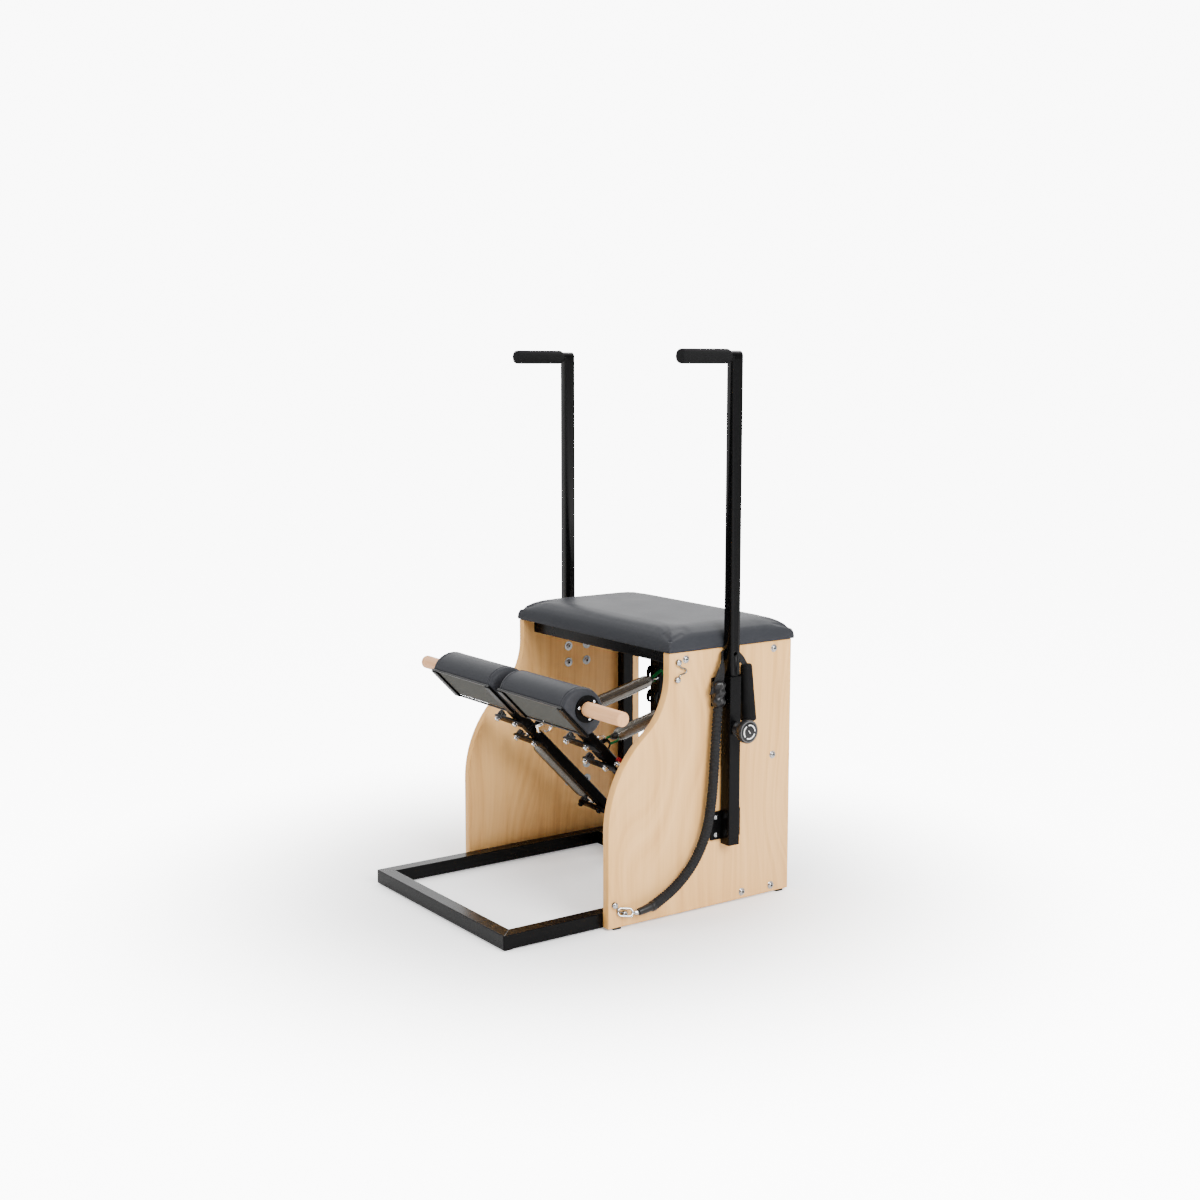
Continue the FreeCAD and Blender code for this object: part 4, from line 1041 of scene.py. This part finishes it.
def make_bars():
    """The pedals' spring bars with their nuts, and the screws of the pads' flanges."""
    for name, side in SIDES:
        body = name + "_pedal"
        screws = []
        for end in (-1, 1):
            face = on_arm(side, 0, ARM_END, 0) + ACROSS * end * (PAD_HALF + 4) * MM
            for turn in map(radians, FLANGE_SCREWS):
                screws.append((face + Vector((0, cos(turn), sin(turn))) * FLANGE_R * MM, (end, 0, 0)))
        dress(row(name + "_flange_screws", PAN_HEAD, 16, screws), CHROME, body)
        nuts, dark_nuts, claws, bars = [], [], [], []
        for along, reach in SPRING_BARS:
            knob = -side * KNOB_SIDE
            own_nuts = dark_nuts if along == LOWEST_BAR else nuts
            own_nuts += [(on_arm(side, across, along, NUT_OFF), -OFF_ARM) for across in (knob, side * 8)]
            claws.append((on_arm(side, knob, along, -8), OFF_ARM))
            tip = 8 - reach
            outline = [(50, -12), (50, 12), (-20, 13), (tip + 12, 11), (tip + 4, 9), (tip, 4), (tip, -4),
                       (tip + 4, -9), (tip + 12, -11), (-20, -13)]
            bars.append(moved(plate("bar", outline, 5), on_arm(side, 0, along, BAR_OFF), OFF_ARM, -ALONG_ARM))
        dress(joined(name + "_bars", bars), PEDAL_STEEL, body, [name + "_spring_bars"])
        dress(row(name + "_bar_bolts", CAP_NUT, 20, nuts), CHROME, body)
        dress(row(name + "_low_bar_bolts", CAP_NUT, 20, dark_nuts), STEEL, body)
        dress(many(name + "_bar_claws", claw("claw"), claws), BLACK_PLASTIC, body)


# Bails: two bolts each, in y and z, and how far the wire bulges between them
BAIL_X = 312.5
BAIL_WIRE = 1.9
BAILS = (((188, 578.5), (185.5, 539.6), 20), ((15, 54), (41, 30), -4))
BAIL_BENDS = ((0.30, 0.30), (0.36, 0.95), (0.50, 1.25), (0.64, 0.95), (0.70, 0.30))
BAIL_POST = ((0, 6.8), (2.0, 6.8), (2.2, 4.4), (5.6, 4.4), (5.8, 7.0), (6.6, 7.0), (7.8, 6.5), (8.8, 5.2),
             (9.2, 3.8), (9.2, 3.0), (7.6, 2.9))


def bent_wire(name, points, radius):
    wire = linked(name, curve_mesh(name, points, 6, radius))
    outward(wire)
    wire.data.shade_smooth()
    return wire


def make_anchors():
    """Wire bails, each on two button-head bolts."""
    wires = []
    for side in (-1, 1):
        for first, second, bulge in BAILS:
            a, b = Vector((0, *first)), Vector((0, *second))
            along = (b - a).normalized()
            lift = Vector((0, -along.z, along.y)) * bulge
            route = [a - along * 4, a + along * 3 + lift * 0.1]
            route += [a.lerp(b, share) + lift * height for share, height in BAIL_BENDS]
            route += [b - along * 3 + lift * 0.1, b + along * 4]
            wires.append(bent_wire("bail", [at(side * BAIL_X, p.y, p.z) for p in route], BAIL_WIRE))
    spots = [spot for first, second, _ in BAILS for spot in (first, second)]
    posts = row("bail_bolts", BAIL_POST, 24, both_sides(PANEL_OUTER, spots))
    dress(posts, ZINC, "frame")
    dress(joined("cord_bails", wires), SPRING_STEEL, "frame", ["cord_anchors"], "steel_bolt")


# Locking knobs
KNOB_X = 342.2
KNOB_Z = 418.5
KNOB_FACE = 49.4
KNOB_RIBS = tuple((10.5 + 3.4 * rib + away, 16.8 - cut) for rib in range(6)
                  for away, cut in ((0, 1.2), (1, 0), (2.4, 0)))
KNOB_BODY = ((0, 4.0), (8, 4.0), (8.2, 13.0), (9.4, 15.2)) + KNOB_RIBS + (
    (31.4, 16), (33, 20), (34.6, 24.6), (36.4, 26.4), (38, 27), (47, 27), (49, 26.6), (50.4, 25.2), (50.4, 24.2),
    (49.4, 23.8))
KNOB_RIM = ((0, 24.6), (1.4, 24.6), (1.7, 24.3), (1.7, 22.6), (1.4, 22.2), (0.6, 22.0))
KNOB_DISC = ((1.2, 22.2), (1.9, 22.0), (2.1, 21.4))
MARK_R = 15.5
MARK_SWEEP = 98


def mark(name, start):
    """A thin raised arc, spun from a small square."""
    deselect()
    bpy.ops.mesh.primitive_plane_add(size=1)
    arc = fresh(name)
    arc.data.transform(Matrix.Diagonal((2.7 * MM, 0.5 * MM, 1, 1)))
    arc.data.transform(Matrix.Translation((MARK_R * MM, 0, 0)) @ Matrix.Rotation(pi / 2, 4, "X"))
    edit(arc)
    bpy.ops.mesh.spin(steps=14, angle=radians(MARK_SWEEP), center=(0, 0, 0), axis=(0, 0, 1))
    outward(arc)
    arc.data.transform(Matrix.Rotation(radians(start), 4, "Z"))
    return arc


def make_knobs():
    """Ribbed knobs, each with a grey rim and, on its face, three arcs and a pointer."""
    for name, side in SIDES:
        body = name + "_lock"
        axis = Vector((side, 0, 0))
        start = at(side * KNOB_X, HANDLE_Y, KNOB_Z)
        face = start + axis * KNOB_FACE * MM
        knob = moved(turned(name + "_lock_knob", KNOB_BODY, 48), start, axis)
        dress(knob, BLACK_PLASTIC, body, [name + "_knob"])
        dress(moved(turned(name + "_knob_rim", KNOB_RIM, 48), face, axis), GREY_RIM, body)
        dress(moved(turned(name + "_knob_face", KNOB_DISC, 48), face, axis), BLACK_PLASTIC, body)
        pointer = rounded_box("pointer", Vector((-0.8, -4.5, -0.2)) * MM, Vector((0.8, 4.5, 0.3)) * MM, 0.1 * MM, 1)
        pointer.data.transform(Matrix.Rotation(radians(35), 4, "Z"))
        marks = joined(name + "_knob_marks", [mark("mark", turn) for turn in (100, 220, 340)] + [pointer])
        dress(moved(marks, face + axis * 2.2 * MM, axis), WHITE_MARK, body)


# Resistance cord: routes and profiles in mm
CORD_X = 328.0
CORD_R = 12.0
CORD_ROUTE = ((288.5, 470.0), (284.5, 420.0), (281.0, 365.0), (277.5, 305.0), (272.0, 250.0), (263.0, 200.0),
              (247.0, 157.0), (222.0, 117.0), (187.0, 83.0), (147.0, 57.0), (108.0, 40.0))
COLLAR_TOP = (290, 515)
COLLAR = ((-14, 8), (-12, 13), (-6, 16.4), (0, 15.0), (3, 13.0), (7, 15.4), (13, 17.0), (19, 15.0), (22, 12.6),
          (27, 15.0), (33, 16.2), (39, 14.0), (42, 11.6), (46, 9.6))
FITTING_TIP = (66, 33)
SNAP_END = (28, 36.6)
GRIP_HIGH = (369, 560)
GRIP_LOW = (377, 428)
STRAP = (((328, 264, 500), (328, 302, 508)), ((328, 281, 540), (328, 304.5, 530)),
         ((328, 303, 584), (328, 307, 560)), ((319, 305.5, 590), (319, 306.5, 567)),
         ((311.2, 307.5, 593), (311.2, 307.5, 570)), ((311.2, 343, 594), (311.2, 343, 571)),
         ((319, 344.5, 594), (319, 344.5, 571)), ((328, 345, 592), (328, 344, 571)),
         ((329, 360, 580), (329, 352, 563)), ((329, 374, 556), (329, 362, 556)))


def gathered_sleeve(points, sides=28):
    """A cloth sleeve gathered over the elastic: rings of points along the line, puckered, looser at the top."""
    rings = []
    gone, phase = 0.0, 0.0
    for number, point in enumerate(points):
        before, after = points[max(0, number - 1)], points[min(len(points) - 1, number + 1)]
        side = (after - before).normalized().cross(ACROSS)
        stride = (point - before).length / MM
        gone += stride
        loose = exp(-gone / 110)
        phase += pi * stride / (6.2 + 6.5 * loose)
        ring = []
        for step in range(sides):
            turn = 2 * pi * step / sides
            wander = 0.15 * sin(2 * turn + gone / 29) + 0.2 * loose * sin(3 * turn - gone / 17)
            pucker = abs(sin(phase + wander)) ** 0.7
            fold = 0.5 * sin(5 * turn + gone / 23) * sin(gone / 41 + turn)
            r = (CORD_R - 0.9 - 1.2 * loose + (1.5 + 1.6 * loose) * (pucker - 0.6) + 0.3 * fold) * MM
            ring.append(point + (ACROSS * cos(turn) + side * sin(turn)) * r)
        rings.append(ring + ring[:1])
    sleeve = sheet("cord_cover_sleeve", rings)
    outward(sleeve)
    edit(sleeve)
    bpy.ops.mesh.fill_holes(sides=0)
    outward(sleeve)
    sleeve.data.shade_smooth()
    return sleeve


def webbing():
    """The strap from the collar round the post's inner side to the hand grip, as a folded strip."""
    strap = sheet("cord_webbing", [(at(*low), at(*high)) for low, high in STRAP])
    apply_modifier(strap, "SUBSURF", levels=3, boundary_smooth="PRESERVE_CORNERS")
    outward(strap)
    apply_modifier(strap, "SOLIDIFY", thickness=2.2 * MM, offset=0)
    return smooth(strap, 50)


def snap(name, start, way):
    """A snap hook: swivel barrel, long closed ring and a thumb trigger."""
    barrel = turned("barrel", ((-2, 4.2), (0, 5.2), (2, 5.6), (7, 5.6), (8, 4.4), (9, 3.6), (12, 3.2)), 24)
    ring = link("hook", 8.6, 2.5)
    for vertex in ring.data.vertices:
        if vertex.co.y > 0:
            vertex.co.y += 16.5 * MM
    ring.data.transform(Matrix.Translation((0, 20.5 * MM, 0)))
    ring.data.transform(Matrix.Rotation(pi / 2, 4, "X"))
    thumb = turned("thumb", ((0, 1.6), (3.4, 1.6), (3.6, 2.6), (4.8, 2.6), (5.2, 2.0)), 14)
    thumb.data.transform(Matrix.Translation((5.6 * MM, 0, 14 * MM)) @ Matrix.Rotation(pi / 2, 4, "Y"))
    hook = joined(name, [barrel, ring, thumb])
    return moved(hook, start, way, (0.86, -0.25, 0.44))


def lumpy_collar(top, end):
    """The tied collar at the cord's top: a turned row of knots, pressed out of round."""
    collar = turned("cord_collar", COLLAR)
    for vertex in collar.data.vertices:
        x, y, z = vertex.co
        lump = 1 + 0.09 * sin(x * 420 + z * 260) + 0.09 * sin(y * 510 - z * 190)
        vertex.co.x *= lump
        vertex.co.y *= lump
    apply_modifier(collar, "SUBSURF", levels=1)
    collar.data.shade_smooth()
    return moved(collar, top, end - top)


def make_cord():
    """The cord's sleeve with its collar, end fitting, strap, snap hook and hand grip."""
    route = [at(CORD_X, *place) for place in CORD_ROUTE]
    points = [vertex.co.copy() for vertex in curve_mesh("cord", route, 40).vertices]
    first, tail = points[0], points[-1]
    sleeve = gathered_sleeve(points)
    dress(sleeve, CORD_CLOTH, "frame", ["cord_sleeve"])
    tip = at(CORD_X, *FITTING_TIP)
    reach = (tip - tail).length / MM
    taper = ((-5, 9), (-4, 11.6), (0, 12.2), (5, 11.8), (7, 9.6), (reach - 8, 8.6), (reach - 2, 8.0), (reach, 6.0))
    fitting = moved(turned("cord_fitting", taper), tail, tip - tail)
    ends = joined("cord_end_fittings", [lumpy_collar(at(CORD_X, *COLLAR_TOP), first), fitting])
    dress(ends, BLACK_PLASTIC, "frame", ["cord_ends"])
    strap = webbing()
    dress(strap, CORD_CLOTH, "frame", ["cord_strap"])
    hook = snap("cord_snap", tip, at(BAIL_X, *SNAP_END) - tip)
    dress(hook, ZINC, "frame", ["snap_hook"], "chrome")
    high, low = at(HANDLE_X, *GRIP_HIGH), at(HANDLE_X, *GRIP_LOW)
    length = (low - high).length / MM
    flare = ((0, 7), (0.8, 10.4), (2.5, 12.2), (6, 13), (30, 14), (80, 16.2), (length - 8, 18.3),
             (length - 3, 18.2), (length - 0.8, 16.8), (length, 13))
    grip = moved(turned("cord_foam_grip", flare, 36), high, low - high)
    dress(grip, FOAM, "frame", ["cord_handgrip"])


dress_nodes()
make_studio()
make_cord()
make_panels()
make_seat()
make_pads()
make_dowel()
make_handles()
make_grips()
make_springs()
make_hooks()
make_bolts()
make_bars()
make_anchors()
make_knobs()
